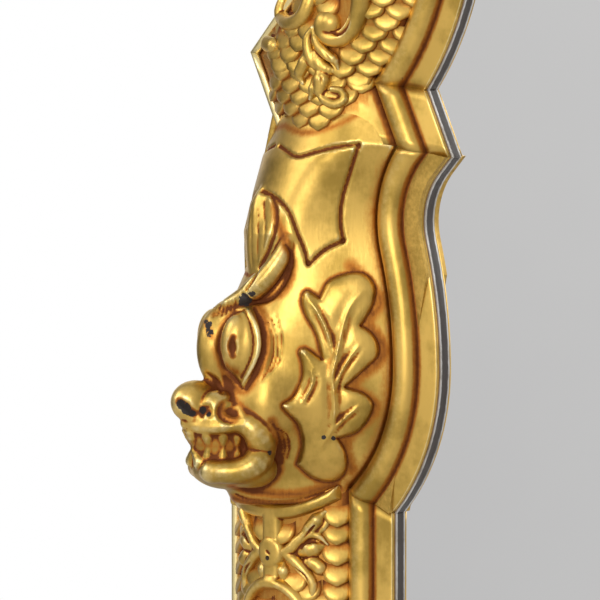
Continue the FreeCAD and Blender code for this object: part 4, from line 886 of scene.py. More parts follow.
glazeAndShadeSpots = [(onHead(line, 0.0, 5.0), reach, strength) for line, reach, strength in glazeAndShadeLines.values()]
chipAndNostrilShadePlaces = {(181, 403): 2.4, (187, 408): 2.6, (193, 413): 1.6, (204, 410): 1.8, (209, 414): 1.6,
              (246, 299): 3.2, (252, 294): 2.2, (209, 325): 2.0, (210, 333): 3.0, (206, 321): 1.4,
              (270, 452): 1.4}     # photo places of bare chips, and of painted shade in the nostrils, and their radii in mm
# two pin holes at the leaf's root, shown as painted shade, with a radius in photo pixels
pinHoles = {"places": [(323.5, 436.5), (333.0, 437.5)], "radius": 2.0, "strength": 1.6}
spotSoft = 1.6      # each chip and painted shade spot fades out between 0.6 and 1.6 radii
chipAndNostrilShadeSpots = [(onHead([place]), radius) for place, radius in chipAndNostrilShadePlaces.items()]

# cheek leaf: outline, midrib and veins at the photograph's places, raised off the ground behind them
leafShape = {"lip": 2.9, "crown": 2.6, "edge": 0.7, "round": 6.0, "under": 1.2, "ridge": 1.0, "vein": 0.8,
             "voxel": 0.6, "fade": 0.3, "besideBead": 8.4, "mapFrom": (270, 260), "mapTo": (392, 494),
             "mapStep": 0.5, "block": ((8, -64, 0), (76, 42, 122)), "shade": 0.95, "shadeReach": 2.6,
             "shadeFrom": 14}
leafOutline = [(352, 272), (366, 275), (375, 288), (372, 306), (361, 325), (371, 332), (378, 344), (377, 356),
               (365, 368), (345, 386), (363, 392), (373, 403), (368, 419), (356, 432), (338, 438), (345, 450),
               (347, 466), (340, 478), (327, 482), (311, 477), (296, 464), (301, 443), (297, 423), (287, 412),
               (282, 404), (293, 396), (301, 378), (301, 362), (298, 351), (305, 347), (321, 358), (315, 333),
               (305, 315), (301, 300), (306, 290), (319, 297), (329, 280)]
leafNotches = {4, 9, 14, 20, 30, 35}     # outline points that stay sharp
leafVeins = [  # photo points and width in mm, the midrib first
    ([(311, 458), (327, 437), (333, 423), (334, 400), (332, 376), (336, 355), (342, 327), (350, 306),
      (366, 287)], 1.5),
    ([(333, 392), (340, 372), (349, 357), (360, 343)], 1.0),
    ([(331, 431), (344, 417), (360, 404)], 1.0),
    ([(310, 300), (321, 319), (329, 339), (332, 354)], 1.0),
    ([(310, 368), (312, 382), (301, 404)], 1.0)]


def pieceLine(points, corners, step):  # soft between the sharp notches, closed
    order = sorted(corners)
    made = []
    for a, b in zip(order, order[1:] + [order[0] + len(points)]):
        made.append(smoothLine([points[i % len(points)] for i in range(a, b + 1)], step)[:-1])
    return np.vstack(made)


def lineDistance(x, y, line, closed=False):
    line = np.asarray(line, float)
    far = np.vstack([line[1:], line[:1]]) if closed else line[1:]
    near = line if closed else line[:-1]
    best = np.full(np.shape(x), 1e9)
    inside = np.zeros(np.shape(x), bool)
    for a, b in zip(near, far):
        way = b - a
        k = np.clip(((x - a[0]) * way[0] + (y - a[1]) * way[1]) / max(way @ way, 1e-9), 0, 1)
        best = np.minimum(best, np.hypot(x - a[0] - k * way[0], y - a[1] - k * way[1]))
        if closed:
            crosses = (a[1] > y) != (b[1] > y)
            rise = np.where(b[1] == a[1], 1e-9, b[1] - a[1])
            inside ^= crosses & (x < (b[0] - a[0]) * (y - a[1]) / rise + a[0])
    return np.where(inside, -best, best) if closed else best


# maps of the leaf over the photo: distance from its edge, and height over the ground, mm
mapX, mapY = np.meshgrid(*(np.arange(first, last, leafShape["mapStep"]) for first, last
                           in zip(leafShape["mapFrom"], leafShape["mapTo"])), indexing="ij")
edgeMap = lineDistance(mapX, mapY, pieceLine(leafOutline, leafNotches, 3.0), True) * perPx
inward = np.minimum(edgeMap, 0)
riseMap = (leafShape["lip"] * (1 - np.exp(inward / leafShape["edge"]))
           + leafShape["crown"] * (1 - np.exp(inward / leafShape["round"])))
for line, width in leafVeins:
    vein = smoothLine(line, 3.0)
    gap = lineDistance(mapX, mapY, vein) * perPx
    spot = np.argmin(np.stack([np.hypot(mapX - x, mapY - y) for x, y in vein]), axis=0) / (len(vein) - 1)
    fadeOut = np.clip(np.minimum(spot / leafShape["fade"], (1 - spot) / leafShape["fade"]), 0, 1)
    ridge = leafShape["ridge"] * np.exp(-gap / (0.6 * width))
    furrow = leafShape["vein"] * np.exp(-((gap - 1.9 * width) / (1.7 * width)) ** 2)
    riseMap += fadeOut * (ridge - furrow)      # each vein dies out towards its ends
rightStep, upStep = headAxes @ viewRight, headAxes @ viewUp
targetHead = rowToHead(np.array(lens["target"]))


def leafPixels(*place):  # side, front and level of a head place, as cells of the leaf maps
    off = [value - middle for value, middle in zip(place, targetHead)]
    right, up = (off[0] * way[0] + off[1] * way[1] + off[2] * way[2] for way in (rightStep, upStep))
    pixels = midPx + right / perPx, midPx - up / perPx
    return tuple(np.clip((pixel - first) / leafShape["mapStep"], 0, size - 1).astype(np.int32)
                 for pixel, first, size in zip(pixels, leafShape["mapFrom"], mapX.shape))


def leafPiece(side):
    fine = carving(*leafShape["block"], leafShape["voxel"])
    lu, lf, lz = fine.axes()
    block = np.stack(np.broadcast_arrays(lu * side, lf, lz), -1).reshape(-1, 3)
    ground = head.sample(block, bare).reshape(fine.shape)
    off = head.sample(block, fromBead).reshape(fine.shape)
    gx, gy = leafPixels(lu, lf, lz)
    shape = np.maximum(edgeMap[gx, gy] * 0.9, ground - riseMap[gx, gy])
    shape = np.maximum(shape, -leafShape["under"] - ground)
    seat = maskLook["seat"] + neck[1] + headSide[1] * lu * side + headFront[1] * lf
    fine.field = np.maximum(np.maximum(shape, seat), leafShape["besideBead"] - off).astype(np.float32)
    points, faces = fine.mesh()
    if side < 0:
        points, faces = points * [-1, 1, 1], faces[:, ::-1]
    return points, faces


def headPiece(name, points, faces, tones, chip):  # a carving in head axes, set on the frame
    piece = newPiece(name, headToRow(points) * mm, faces, {**tones, "chip": chip})
    piece.data.flip_normals()   # the head's axes are left-handed
    return piece


head.keepWithin(maskLook["seat"] - depth, 0.5)
head.keepWithin((maskLook["besideBead"] - fromBead) * 0.95, 0.8)
points, faces = head.mesh()
tones = toneOf(points, faces)
both = points.copy()
both[:, 0] = np.abs(both[:, 0])      # the far half takes the near half's glaze and painted shade
glazeAndShade = np.zeros(len(points))
for line, reach, strength in glazeAndShadeSpots:
    gap = np.full(len(points), 1e9)
    for a, b in zip(line[:-1], line[1:]):
        way = b - a
        k = np.clip((both - a) @ way / max(way @ way, 1e-9), 0, 1)
        gap = np.minimum(gap, np.linalg.norm(both - a - k[:, None] * way, axis=1))
    glazeAndShade = np.maximum(glazeAndShade, strength * np.clip(1 - gap / reach, 0, 1) ** 0.8)
besideLeaf = edgeMap[leafPixels(both[:, 0], both[:, 1], both[:, 2])]
leafShade = leafShape["shade"] * np.clip(1 - np.maximum(besideLeaf, 0) / leafShape["shadeReach"], 0, 1)
glazeAndShade = np.maximum(glazeAndShade, np.where(both[:, 0] > leafShape["shadeFrom"], leafShade, 0))
# glaze and painted shade lines, and the painted shade beside the leaf, join the recess value
recess = tones["cavity"]
tones["cavity"] = np.clip(np.maximum(recess, glazeAndShade) + 0.35 * np.minimum(recess, glazeAndShade), 0, 1)
# chips, and painted shade in the nostrils
chipAndNostrilShadeValue = np.zeros(len(points))
for spot, radius in chipAndNostrilShadeSpots:
    if len(spot):
        gap = np.linalg.norm(points - spot[0], axis=1)
        chipAndNostrilShadeValue = np.maximum(chipAndNostrilShadeValue, np.clip(spotSoft - gap / radius, 0, 1))
mask = headPiece("left_mask_carving", points, faces, tones, chipAndNostrilShadeValue)
print("mask carved", len(faces) * 2)
dress(mask, ["left_mask"])
for side, name in ((1, "inner"), (-1, "outer")):
    points, faces = leafPiece(side)
    gx, gy = leafPixels(points[:, 0] * side, points[:, 1], points[:, 2])
    # painted shade in the pin holes
    holeGap = np.min([np.hypot(mapX[gx, gy] - px, mapY[gx, gy] - py) for px, py in pinHoles["places"]], 0)
    holeValue = np.clip(spotSoft - holeGap / pinHoles["radius"], 0, 1) * pinHoles["strength"]
    leafName = name + "_leaf_carving"
    leaf = headPiece("left_" + leafName, points, faces, toneOf(points, faces), holeValue)
    dressPair(leaf, leafName, ["mask_" + name + "_leaf"])
    print(name, "leaf", len(faces) * 2)
dress(mirrorCopy(mask, "right_mask_carving"), ["right_mask"])


# applied carving on the members: strokes at the photograph's places, laid on the convex field
def fieldSpot(run, x, z):  # distance along the run and offset from the bead's crest
    s = np.linspace(-30, run.length + 30, 900)
    path = run.at(s, 0.0)[0]
    gap = np.hypot(path[:, 0][:, None] - np.ravel(x)[None], path[:, 1][:, None] - np.ravel(z)[None])
    best = np.argmin(gap, axis=0)
    return s[best], gap[best, np.arange(gap.shape[1])]


def groundDepth(names, x, z):  # the first member's field, and each neighbour's within its own mitres
    found = None
    for name in names:
        run, lines, edge, crest = members[name]
        s, offset = fieldSpot(run, x, z)
        depth = fieldDepth(np.clip(offset, c["beadRadius"], edge - c["stripWidth"]), edge, crest)
        first, last = run.ends(offset, lines)
        found = depth if found is None else np.where((s > first) & (s < last), depth, found)
    return found


def onField(pixels, names, lift=0.0, step=3.0):
    crest = members[names[0]][3]
    line = smoothLine(np.array(pixels, float), step) if len(pixels) > 1 else np.array(pixels, float)
    depth = np.full(len(line), crest)
    for _ in range(12):
        base = np.array([photoToRow(px, py) for px, py in line])
        base += viewBack * ((-depth - base[:, 1]) / viewBack[1])[:, None]
        depth = 0.5 * depth + 0.5 * (groundDepth(names, base[:, 0], base[:, 2]) + lift)
    return base


keptClear = []      # plans of the carvings, so that no scale pokes through one
reliefLook = {"room": 9, "blend": 1.0, "cutBlend": 0.5, "sunk": 1.5, "tone": 0.8}


def frontPlan(block):  # a block's axes, and its cells seen from the front
    x, y, z = block.axes()
    return y, *np.meshgrid(x.ravel(), z.ravel(), indexing="ij")


def carvedPiece(block, name, scale):
    keptClear.append((block.low[[0, 2]], block.voxel, np.min(block.field, axis=1)))
    points, faces = block.mesh()
    print(name, len(faces) * 2)
    return newPiece(name, points * mm, faces, toneOf(points, faces, scale))


def carvedRelief(name, nodes, names, strokes, voxel, cuts=(), mirrorAt=None):
    def laid(table):
        for pixels, radii, lift in table:
            line = onField(pixels, names, lift)
            radii = evenly(radii, len(line))
            yield line, radii
            if mirrorAt is not None:
                yield line * [-1, 1, 1] + [2 * mirrorAt, 0, 0], radii

    proud = list(laid(strokes))
    every = np.vstack([line for line, _ in proud])
    block = carving(every.min(0) - reliefLook["room"], every.max(0) + reliefLook["room"], voxel)
    for line, radii in proud:
        block.stroke(line, radii, reliefLook["blend"])
    for line, radii in laid(cuts):
        block.stroke(line, radii, reliefLook["cutBlend"], cut=True)
    y, gx, gz = frontPlan(block)
    floorDepth = groundDepth(names, gx.ravel(), gz.ravel()).reshape(gx.shape) - reliefLook["sunk"]
    block.keepWithin(y + floorDepth[:, None, :], 0.3)
    dressPair(carvedPiece(block, "left_" + name, reliefLook["tone"]), name, nodes)


carvedRelief("scroll_volutes_carving", ["scroll_volutes"], ["scroll"], [
    ([(352, -62), (360, -40), (362, -18), (361, 0), (359, 15), (353, 30), (345, 39), (336, 42), (327, 39),
      (322, 31), (324, 22)],
     [1.5, 4.0, 5.2, 5.6, 5.6, 5.2, 4.8, 4.4, 4.2, 4.2, 4.4], 1.0),
    ([(327, 27), (332, 25)], [6.6, 6.6], -0.9),
    ([(318, -60), (316, -36), (313, -14), (311, 2), (306, 15), (299, 22), (290, 24), (284, 19), (281, 10),
      (284, -2), (289, -12)],
     [1.5, 3.4, 4.2, 4.6, 4.8, 4.8, 4.6, 4.2, 3.8, 3.0, 1.2], 1.0)], 0.55,
    [([(338, 3), (344, 12), (347, 22), (344, 32), (337, 36), (331, 35)], [1.2, 1.9, 2.1, 2.1, 1.8, 0.8], 4.0),
     ([(290, -6), (295, 4), (294, 12)], [2.6, 3.6, 1.4], 2.6)])
carvedRelief("scroll_husk_carving", ["scroll_husk"], ["scroll", "knee"], [
    ([(313, 30), (308, 40), (309, 53), (314, 66), (319, 72)], [1.6, 2.8, 3.0, 2.8, 1.4], 3.0),
    ([(314, 31), (317, 45), (326, 56), (335, 63), (338, 71)], [1.4, 2.6, 2.8, 2.6, 0.9], 3.0),
    ([(309, 54), (304, 66), (300, 76), (303, 84)], [2.4, 3.6, 3.4, 1.2], 2.4),
    ([(316, 56), (320, 65), (326, 70), (336, 73)], [2.4, 3.6, 3.4, 1.2], 2.2),
    ([(321, 72), (322, 81), (320, 91)], [2.8, 4.6, 3.4], 3.0),
    ([(315, 80), (314, 90), (310, 100)], [1.8, 3.0, 1.0], 2.8),
    ([(319, 95), (325, 102), (335, 106), (344, 101), (341, 93), (332, 91)],
     [1.8, 2.4, 2.5, 2.4, 2.1, 1.6], 3.2),
    ([(329, 97), (336, 99)], [2.6, 2.2], 2.0),
    ([(270, 43), (275, 45)], [4.6, 4.6], -2.6)], 0.5,
    [([(311, 38), (313, 53), (319, 66)], [0.5, 1.0, 0.5], 5.8),
     ([(318, 46), (327, 60), (334, 68)], [0.4, 0.7, 0.4], 6.0),
     ([(305, 66), (302, 76)], [0.5, 0.8], 5.8), ([(321, 76), (321, 88)], [0.5, 0.6], 7.4)])

# collar and strap: places in photo pixels, sizes in mm
strapLook = {"voxel": 0.6, "rise": 4.2, "discRise": 5.0, "round": 0.9, "axis": 44.0, "axisPx": 266.7,
             "discPx": 552, "footPx": 583, "stemTop": 6.3, "stemFoot": 5.7, "taper": 18.0,
             "ringRadius": 21.0, "ringWire": 3.6, "ringCrown": 1.4, "disc": 8.8, "sunk": 1.5, "tone": 0.9}
strapX = -c["crestHalf"] - strapLook["axis"]
carvedRelief("sprig_carving", ["inner_sprig", "outer_sprig"], ["stile"], [
    ([(284, 553), (292, 548), (298, 541), (307, 535), (318, 536), (328, 545)],
     [2.4, 3.0, 2.8, 2.2, 1.6, 0.6], 1.5),
    ([(297, 543), (304, 536), (312, 526), (319, 518), (325, 512)], [1.8, 2.6, 3.6, 3.8, 1.2], 0.9),
    ([(327, 513), (327, 522), (322, 530), (314, 533)], [0.8, 1.7, 1.9, 1.0], 0.7),
    ([(300, 553), (311, 549), (325, 546)], [2.6, 5.4, 1.6], -0.9),
    ([(285, 554), (293, 560), (300, 567), (307, 575), (313, 585), (312, 600)],
     [2.4, 3.0, 2.9, 2.6, 2.4, 1.2], 1.3),
    ([(305, 563), (313, 563), (320, 568), (322, 575)], [2.0, 3.8, 4.0, 1.0], -0.2),
    ([(284, 562), (284, 572), (284, 581)], [0.8, 3.8, 2.4], 0.0)], 0.55,
    [([(294, 568), (304, 576), (309, 586)], [0.4, 0.8, 0.4], 3.6),
     ([(302, 541), (309, 532), (317, 522)], [0.4, 0.8, 0.4], 4.0),
     ([(301, 549), (307, 543), (318, 542), (326, 547)], [0.5, 1.0, 1.0, 0.5], 2.6)], strapX)

# collar, strap and disc: soft-edged layers over the stile's field
collarTop = [(229, 487), (244, 498), (258, 502), (275, 503), (295, 502), (319, 495), (341, 484)]
collarFoot = [(343, 499), (327, 507), (305, 516), (288, 520), (266, 520), (248, 516), (232, 508)]
topLine = onField(collarTop, ["stile"])
footLine = onField(collarFoot, ["stile"])
discZ, stemFoot = (onField([(strapLook["axisPx"], strapLook[key])], ["stile"])[0][2]
                   for key in ("discPx", "footPx"))
ringZ = stemFoot - strapLook["ringRadius"]
strapBlock = carving((strapX - 50, -60, ringZ - 32), (strapX + 50, -20, cornerLevel + 16), strapLook["voxel"])
y, gx, gz = frontPlan(strapBlock)
fromBeadX = np.clip(-c["crestHalf"] - gx, c["beadRadius"], c["wideEdge"] - c["stripWidth"])
ground = fieldDepth(fromBeadX, c["wideEdge"], c["wideCrest"])
outline = lineDistance(gx, gz, np.vstack([topLine, footLine])[:, [0, 2]], True)
stemWide = np.interp(gz, [stemFoot, discZ, discZ + strapLook["taper"]],
                     [strapLook["stemFoot"], strapLook["stemTop"], strapLook["stemTop"]])
stemGap = np.maximum(np.abs(gx - strapX) - stemWide, np.maximum(stemFoot - 4 - gz, gz - cornerLevel + 6))
fromRing = np.abs(np.hypot(gx - strapX, gz - ringZ) - strapLook["ringRadius"])
ringGap = fromRing - strapLook["ringWire"]
discGap = np.hypot(gx - strapX, gz - discZ) - strapLook["disc"]


def softRise(height, gap):  # a layer of this height with a rounded edge
    return height * (1 - np.exp(np.minimum(gap, 0) / strapLook["round"]))


flat = np.minimum(np.minimum(outline, stemGap), ringGap)
rise = np.maximum(softRise(strapLook["rise"], flat), softRise(strapLook["discRise"], discGap))
flat = np.minimum(flat, discGap)
ringCrown = np.where(ringGap < 0, strapLook["ringCrown"] * (1 - (fromRing / strapLook["ringWire"]) ** 2), 0)
rise = rise + np.maximum(ringCrown, 0)
strapFace = -y - ground[:, None, :] - rise[:, None, :]
strapBack = ground[:, None, :] - strapLook["sunk"] + y
strapBlock.field = np.maximum(np.maximum(flat[:, None, :], strapFace), strapBack).astype(np.float32)
pinFront = -c["wideCrest"] - 5.2
pinSlot = [(strapX - 0.6, pinFront, discZ + 0.4), (strapX + 0.8, pinFront, discZ - 0.6)]
strapBlock.stroke(pinSlot, [1.0, 0.9], 0.4, cut=True)
strap = carvedPiece(strapBlock, "left_collar_carving", strapLook["tone"])
dressPair(strap, "collar_carving", ["collar_strap"])

# crest and rail cartouches: a boss with three pairs of curling lobes, laid over the field
cartoucheLook = {"voxel": 0.7, "bossShares": (0.26, 0.60), "bossRise": 4.2, "lobeRise": 0.6, "lobeMost": 4.2,
                 "grooveShare": 0.06, "grooveRise": 4.4, "sunk": 1.6, "tone": 0.8,
                 "widthShares": (0.10, 0.20, 0.17, 0.05),
                 "lobeShares": [[(0.16, 0.30), (0.42, 0.56), (0.66, 0.70), (0.84, 0.56)],
                                [(0.18, 0.02), (0.48, 0.10), (0.74, 0.02), (0.92, -0.14)],
                                [(0.14, -0.30), (0.34, -0.52), (0.56, -0.66), (0.74, -0.56)]]}


def cartouchePiece(name, member, upright):
    look, node = cartoucheLook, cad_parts[name]
    corners = np.array([node.matrix_world @ Vector(corner) for corner in node.bound_box]) / mm
    low, high = corners.min(0), corners.max(0)
    middle, half = (low + high) / 2, (high - low) / 2
    block = carving(low - [4, 6, 4], high + [4, 4, 4], look["voxel"])
    y, gx, gz = frontPlan(block)
    ground = groundDepth([member], -np.abs(gx).ravel(), gz.ravel()).reshape(gx.shape)

    def lay(line, lift):
        flat = np.array(line) * [half[0], half[2] * upright] + [0, middle[2]]
        depth = groundDepth([member], -np.abs(flat[:, 0]), flat[:, 1])
        return np.stack([flat[:, 0], -depth - lift, flat[:, 1]], 1)

    bossAcross, bossUp = look["bossShares"]
    block.ball(lay([(0, 0)], 0)[0], (bossAcross * half[0], look["bossRise"], bossUp * half[2]), 0.8)
    for hand in (-1, 1):
        for lobe in look["lobeShares"]:
            line = smoothLine(np.array(lobe) * [hand, 1], 0.06)
            widths = np.minimum(evenly(look["widthShares"], len(line)) * half[2], look["lobeMost"])
            groove = np.full(len(line) - 2, look["grooveShare"] * half[2])
            block.stroke(lay(line, look["lobeRise"]), widths, 0.8)
            block.stroke(lay(line[1:-1], look["grooveRise"]), groove, 0.5, cut=True)
    block.keepWithin(y + (ground - look["sunk"])[:, None, :], 0.3)
    dress(carvedPiece(block, name + "_carving", look["tone"]), [name])


cartouchePiece("crest_cartouche", "arch", 1)
cartouchePiece("rail_cartouche", "rail", -1)

# fish scales on the grounds
scaleLook = {"width": 14.8, "length": 13.4, "rise": 1.7, "pitch": 12.8, "topRow": 5.8, "stileRow": 4.9,
             "tilt": 8.0, "seed": 7, "vary": ((0.95, 0.95, 0.8), (1.06, 1.06, 1.2)), "points": (7, 7),
             "firstOffset": 11.5, "edgeRoom": 4.0, "mitreRoom": 4.0, "proud": 0.1, "spareRows": 12,
             "clear": ((1.4, -0.6), (0.6, -0.2))}
# one scale, in shares of its length, width and rise
scaleForm = {"squareTo": 0.45, "tipWide": 0.06, "sunk": 0.75, "steep": 1.3, "crown": 0.5, "dropFrom": 0.75,
             "drop": 0.3, "skirtWide": 1.02, "skirt": -1.4}


def unitScale():  # one scale of unit width and length, tip down, with a skirt that goes into the ground
    form, (rows, columns) = scaleForm, scaleLook["points"]
    points, cavity, rub = [], [], []
    for i in range(rows):
        t = i / (rows - 1)
        tip = max(0.0, t - form["squareTo"]) / (1 - form["squareTo"])
        drop = form["drop"] * max(0.0, t - form["dropFrom"]) / (1 - form["dropFrom"])
        wide = max(0.5 * math.sqrt(max(0.0, 1 - tip ** 2)), form["tipWide"])
        for j in range(columns):
            k = 2 * j / (columns - 1) - 1
            crown = 1 - form["crown"] * k * k
            lift = ((1 + form["sunk"]) * min(1, t * form["steep"]) - form["sunk"]) * crown * (1 - drop)
            points.append((wide * k, -t, lift))
            # painted shade where the scale comes out from under the row above and down its sides, and wear
            # and painted highlight towards the tip
            cavity.append(max(0.12, 0.95 - 1.5 * t) + 0.25 * abs(k) ** 3)
            rub.append(max(0.0, t - 0.55) * crown)
    faces = [(i * columns + j, (i + 1) * columns + j, (i + 1) * columns + j + 1, i * columns + j + 1)
             for i in range(rows - 1) for j in range(columns - 1)]
    rim = list(range(columns)) + [i * columns + columns - 1 for i in range(1, rows)]
    rim += [(rows - 1) * columns + j for j in range(columns - 2, -1, -1)]
    rim += [i * columns for i in range(rows - 2, 0, -1)]
    start = len(points)
    for index in rim:
        px, py, _ = points[index]
        points.append((px * form["skirtWide"], py, form["skirt"]))
        # the skirt in full painted shade
        cavity.append(1.0)
        rub.append(0.0)
    count = len(rim)
    faces += [(rim[i], rim[(i + 1) % count], start + (i + 1) % count, start + i) for i in range(count)]
    mesh = bpy.data.meshes.new("unitScale")
    mesh.from_pydata(points, [], faces)
    mesh.polygons.foreach_set("use_smooth", np.full(len(mesh.polygons), True))
    for key, values in (("cavity", cavity), ("rub", rub)):
        mesh.attributes.new(key, "FLOAT", "POINT").data.foreach_set("value", np.array(values, np.float32))
    return bpy.data.objects.new("unitScale", mesh)


def scaleTree():
    tree = bpy.data.node_groups.new("fishScales", "GeometryNodeTree")
    inputs = {"Geometry": "Geometry", "Scale shape": "Object", "Width": "Float", "Length": "Float",
              "Rise": "Float", "Seed": "Int", "Material": "Material"}
    for name, kind in inputs.items():
        tree.interface.new_socket(name, in_out="INPUT", socket_type="NodeSocket" + kind)
    tree.interface.new_socket("Geometry", in_out="OUTPUT", socket_type="NodeSocketGeometry")
    kinds = {"in": "NodeGroupInput", "out": "NodeGroupOutput", "shape": "GeometryNodeObjectInfo",
             "turn": "GeometryNodeInputNamedAttribute", "spin": "FunctionNodeEulerToRotation",
             "size": "ShaderNodeCombineXYZ", "vary": "FunctionNodeRandomValue",
             "grow": "ShaderNodeVectorMath", "place": "GeometryNodeInstanceOnPoints",
             "real": "GeometryNodeRealizeInstances", "paint": "GeometryNodeSetMaterial"}
    made = {key: tree.nodes.new(kind) for key, kind in kinds.items()}
    made["turn"].data_type = made["vary"].data_type = "FLOAT_VECTOR"
    made["turn"].inputs["Name"].default_value = "turn"
    for socket, value in zip(made["vary"].inputs, scaleLook["vary"]):
        socket.default_value = value
    made["grow"].operation = "MULTIPLY"
    links = [("in", "Scale shape", "shape", "Object"), ("in", "Width", "size", "X"),
             ("in", "Length", "size", "Y"), ("in", "Rise", "size", "Z"), ("in", "Seed", "vary", "Seed"),
             ("size", 0, "grow", 0), ("vary", 0, "grow", 1), ("turn", 0, "spin", 0),
             ("in", "Geometry", "place", "Points"),
             ("shape", "Geometry", "place", "Instance"), ("spin", 0, "place", "Rotation"),
             ("grow", 0, "place", "Scale"), ("place", 0, "real", 0), ("real", 0, "paint", "Geometry"),
             ("in", "Material", "paint", "Material"), ("paint", 0, "out", 0)]
    for source, output, target, entry in links:
        tree.links.new(made[source].outputs[output], made[target].inputs[entry])
    return tree


scaleShape = unitScale()
scaleGroup = scaleTree()


def scalePiece(name, places, turns):
    seeds = bpy.data.meshes.new(name)
    seeds.from_pydata([tuple(p) for p in np.array(places) * mm], [], [])
    turnLayer = seeds.attributes.new("turn", "FLOAT_VECTOR", "POINT")
    turnLayer.data.foreach_set("vector", np.array(turns, np.float32).ravel())
    holder = bpy.data.objects.new(name + "_seeds", seeds)
    scene.collection.objects.link(holder)
    grow = holder.modifiers.new("fishScales", "NODES")
    grow.node_group = scaleGroup
    values = {"Scale shape": scaleShape, "Width": scaleLook["width"] * mm, "Length": scaleLook["length"] * mm,
              "Rise": scaleLook["rise"] * mm, "Seed": scaleLook["seed"], "Material": gilt}
    for item in scaleGroup.interface.items_tree:
        if item.in_out == "INPUT" and item.name in values:
            grow[item.identifier] = values[item.name]
    mesh = bpy.data.meshes.new_from_object(holder.evaluated_get(bpy.context.evaluated_depsgraph_get()))
    holder.modifiers.remove(grow)
    bpy.data.objects.remove(holder)
    mesh.name = name
    piece = bpy.data.objects.new(name, mesh)
    scene.collection.objects.link(piece)
    return piece


def scaleTurn(heading, slope, flip=False):  # tips point back along the run, heads under the row above
    run = bandRun((0, 0), 0)
    along = run.along(heading + (180 if flip else 0))
    out = run.outward(heading)
    across = np.array([-out[0], 0, -out[1]]) * (-1 if flip else 1)
    lift = np.array([0, -1.0, 0])
    across = across - lift * slope * (-1 if flip else 1)
    across /= np.linalg.norm(across)
    way = np.array([along[0], 0, along[1]])
    normal = np.cross(across, way)
    tilt = math.radians(scaleLook["tilt"])
    leaned = normal * math.cos(tilt) + way * math.sin(tilt)
    way, normal = way * math.cos(tilt) - normal * math.sin(tilt), leaned
    return Matrix(np.stack([across, way, normal], 1).tolist()).to_euler("XYZ")


def isClear(x, z, room):  # no applied carving over this spot
    for low, voxel, near in keptClear:
        i, j = int(round((x - low[0]) / voxel)), int(round((z - low[1]) / voxel))
        if 0 <= i < near.shape[0] and 0 <= j < near.shape[1] and near[i, j] < room:
            return False
    return True


def fieldSlope(o, edge, crest):
    return fieldDepth(o + 0.5, edge, crest) - fieldDepth(o - 0.5, edge, crest)


def runScales(member, row, flipHalf=False):  # rows across the run, each shifted by half a scale
    run, lines, edge, crest = members[member]
    places, turns = [], []
    low, high = scaleLook["firstOffset"], edge - c["stripWidth"] - scaleLook["edgeRoom"]
    room, spare = scaleLook["mitreRoom"], scaleLook["spareRows"]
    collarX, collarZ = footLine[np.argsort(footLine[:, 0])][:, [0, 2]].T
    count = max(2, int(round((high - low) / scaleLook["pitch"])))
    for i in range(-spare, int(run.length / row) + spare + 1):
        for j in range(count + 1):
            o = low + (high - low) * (j + (0.5 if i % 2 else 0.0)) / count
            if o > high + 0.1:
                continue
            first, last = run.ends(np.array([o]), lines)
            s = i * row
            flip = flipHalf and s > run.length / 2
            if not first[0] + room < s < last[0] - room:
                continue
            place, heading = run.at(np.array([s]), np.array([o]))
            x, z = place[0]
            if member == "stile" and z > np.interp(x, collarX, collarZ) + 2:
                continue
            if not all(isClear(x, z - row * down, gap) for down, gap in scaleLook["clear"]):
                continue
            places.append((x, -fieldDepth(o, edge, crest) - scaleLook["proud"], z))
            turns.append(scaleTurn(float(heading[0]), fieldSlope(o, edge, crest), flip))
    return places, turns


voluteEye = [(331, 8), (354, 40)]   # no scales inside the curl, photo pixels
levelLook = {"across": (-430, -150), "below": 60, "above": 90, "edgeRoom": 5.5, "headingShare": 0.15}


def rowScales(member, row):  # level rows with the tips down, for the curled scroll and the knee
    run, lines, edge, crest = members[member]
    places, turns = [], []
    wide = scaleLook["pitch"]
    ends = run.at(np.array([0.0, run.length]), 0.0)[0][:, 1]
    for z in np.arange(ends.min() - levelLook["below"], ends.max() + levelLook["above"], row):
        shift = wide / 2 if int(round(z / row)) % 2 else 0.0
        for x in np.arange(*levelLook["across"], wide) + shift:
            s, o = (float(v[0]) for v in fieldSpot(run, [x], [z]))
            if not levelLook["edgeRoom"] < o < edge - levelLook["edgeRoom"] or not isClear(x, z - 2.0, -1.6):
                continue
            place, heading = run.at(np.array([s]), np.array([o]))
            if np.hypot(*(place[0] - [x, z])) > 2.0:
                continue
            first, last = run.ends(np.array([o]), lines)
            if not first[0] - 1 < s < last[0] + 1:
                continue
            d = fieldDepth(o, edge, crest)
            tipX, tipY = rowToPhoto((x, -d, z - scaleLook["length"] * 0.5))
            if member == "knee" and belowBorder(tipX, tipY):
                continue
            if voluteEye[0][0] < tipX < voluteEye[1][0] and voluteEye[0][1] < tipY < voluteEye[1][1]:
                continue
            out = run.outward(float(heading[0]))
            places.append((x, -d - scaleLook["proud"], z + scaleLook["length"] * 0.5))
            turns.append(scaleTurn(float(heading[0]) * levelLook["headingShare"],
                                   fieldSlope(o, edge, crest) * abs(out[0])))
    return places, turns


scaleRows = {"stile": (runScales, "stileRow"), "scroll": (rowScales, "topRow"), "knee": (rowScales, "topRow"),
             "arch": (runScales, "topRow")}
for name, (layRows, row) in scaleRows.items():
    places, turns = layRows(name, scaleLook[row])
    dressPair(scalePiece("left_" + name + "_scales", places, turns), name + "_scales")
    print(name, "scales", len(places))
dress(scalePiece("rail_scales", *runScales("rail", scaleLook["stileRow"], flipHalf=True)))


# plain procedural finishes for the CAD nodes that stay
woodLook = {"stretch": (9.0, 9.0, 0.7), "ringFrom": 0.32, "ringTo": 0.68}


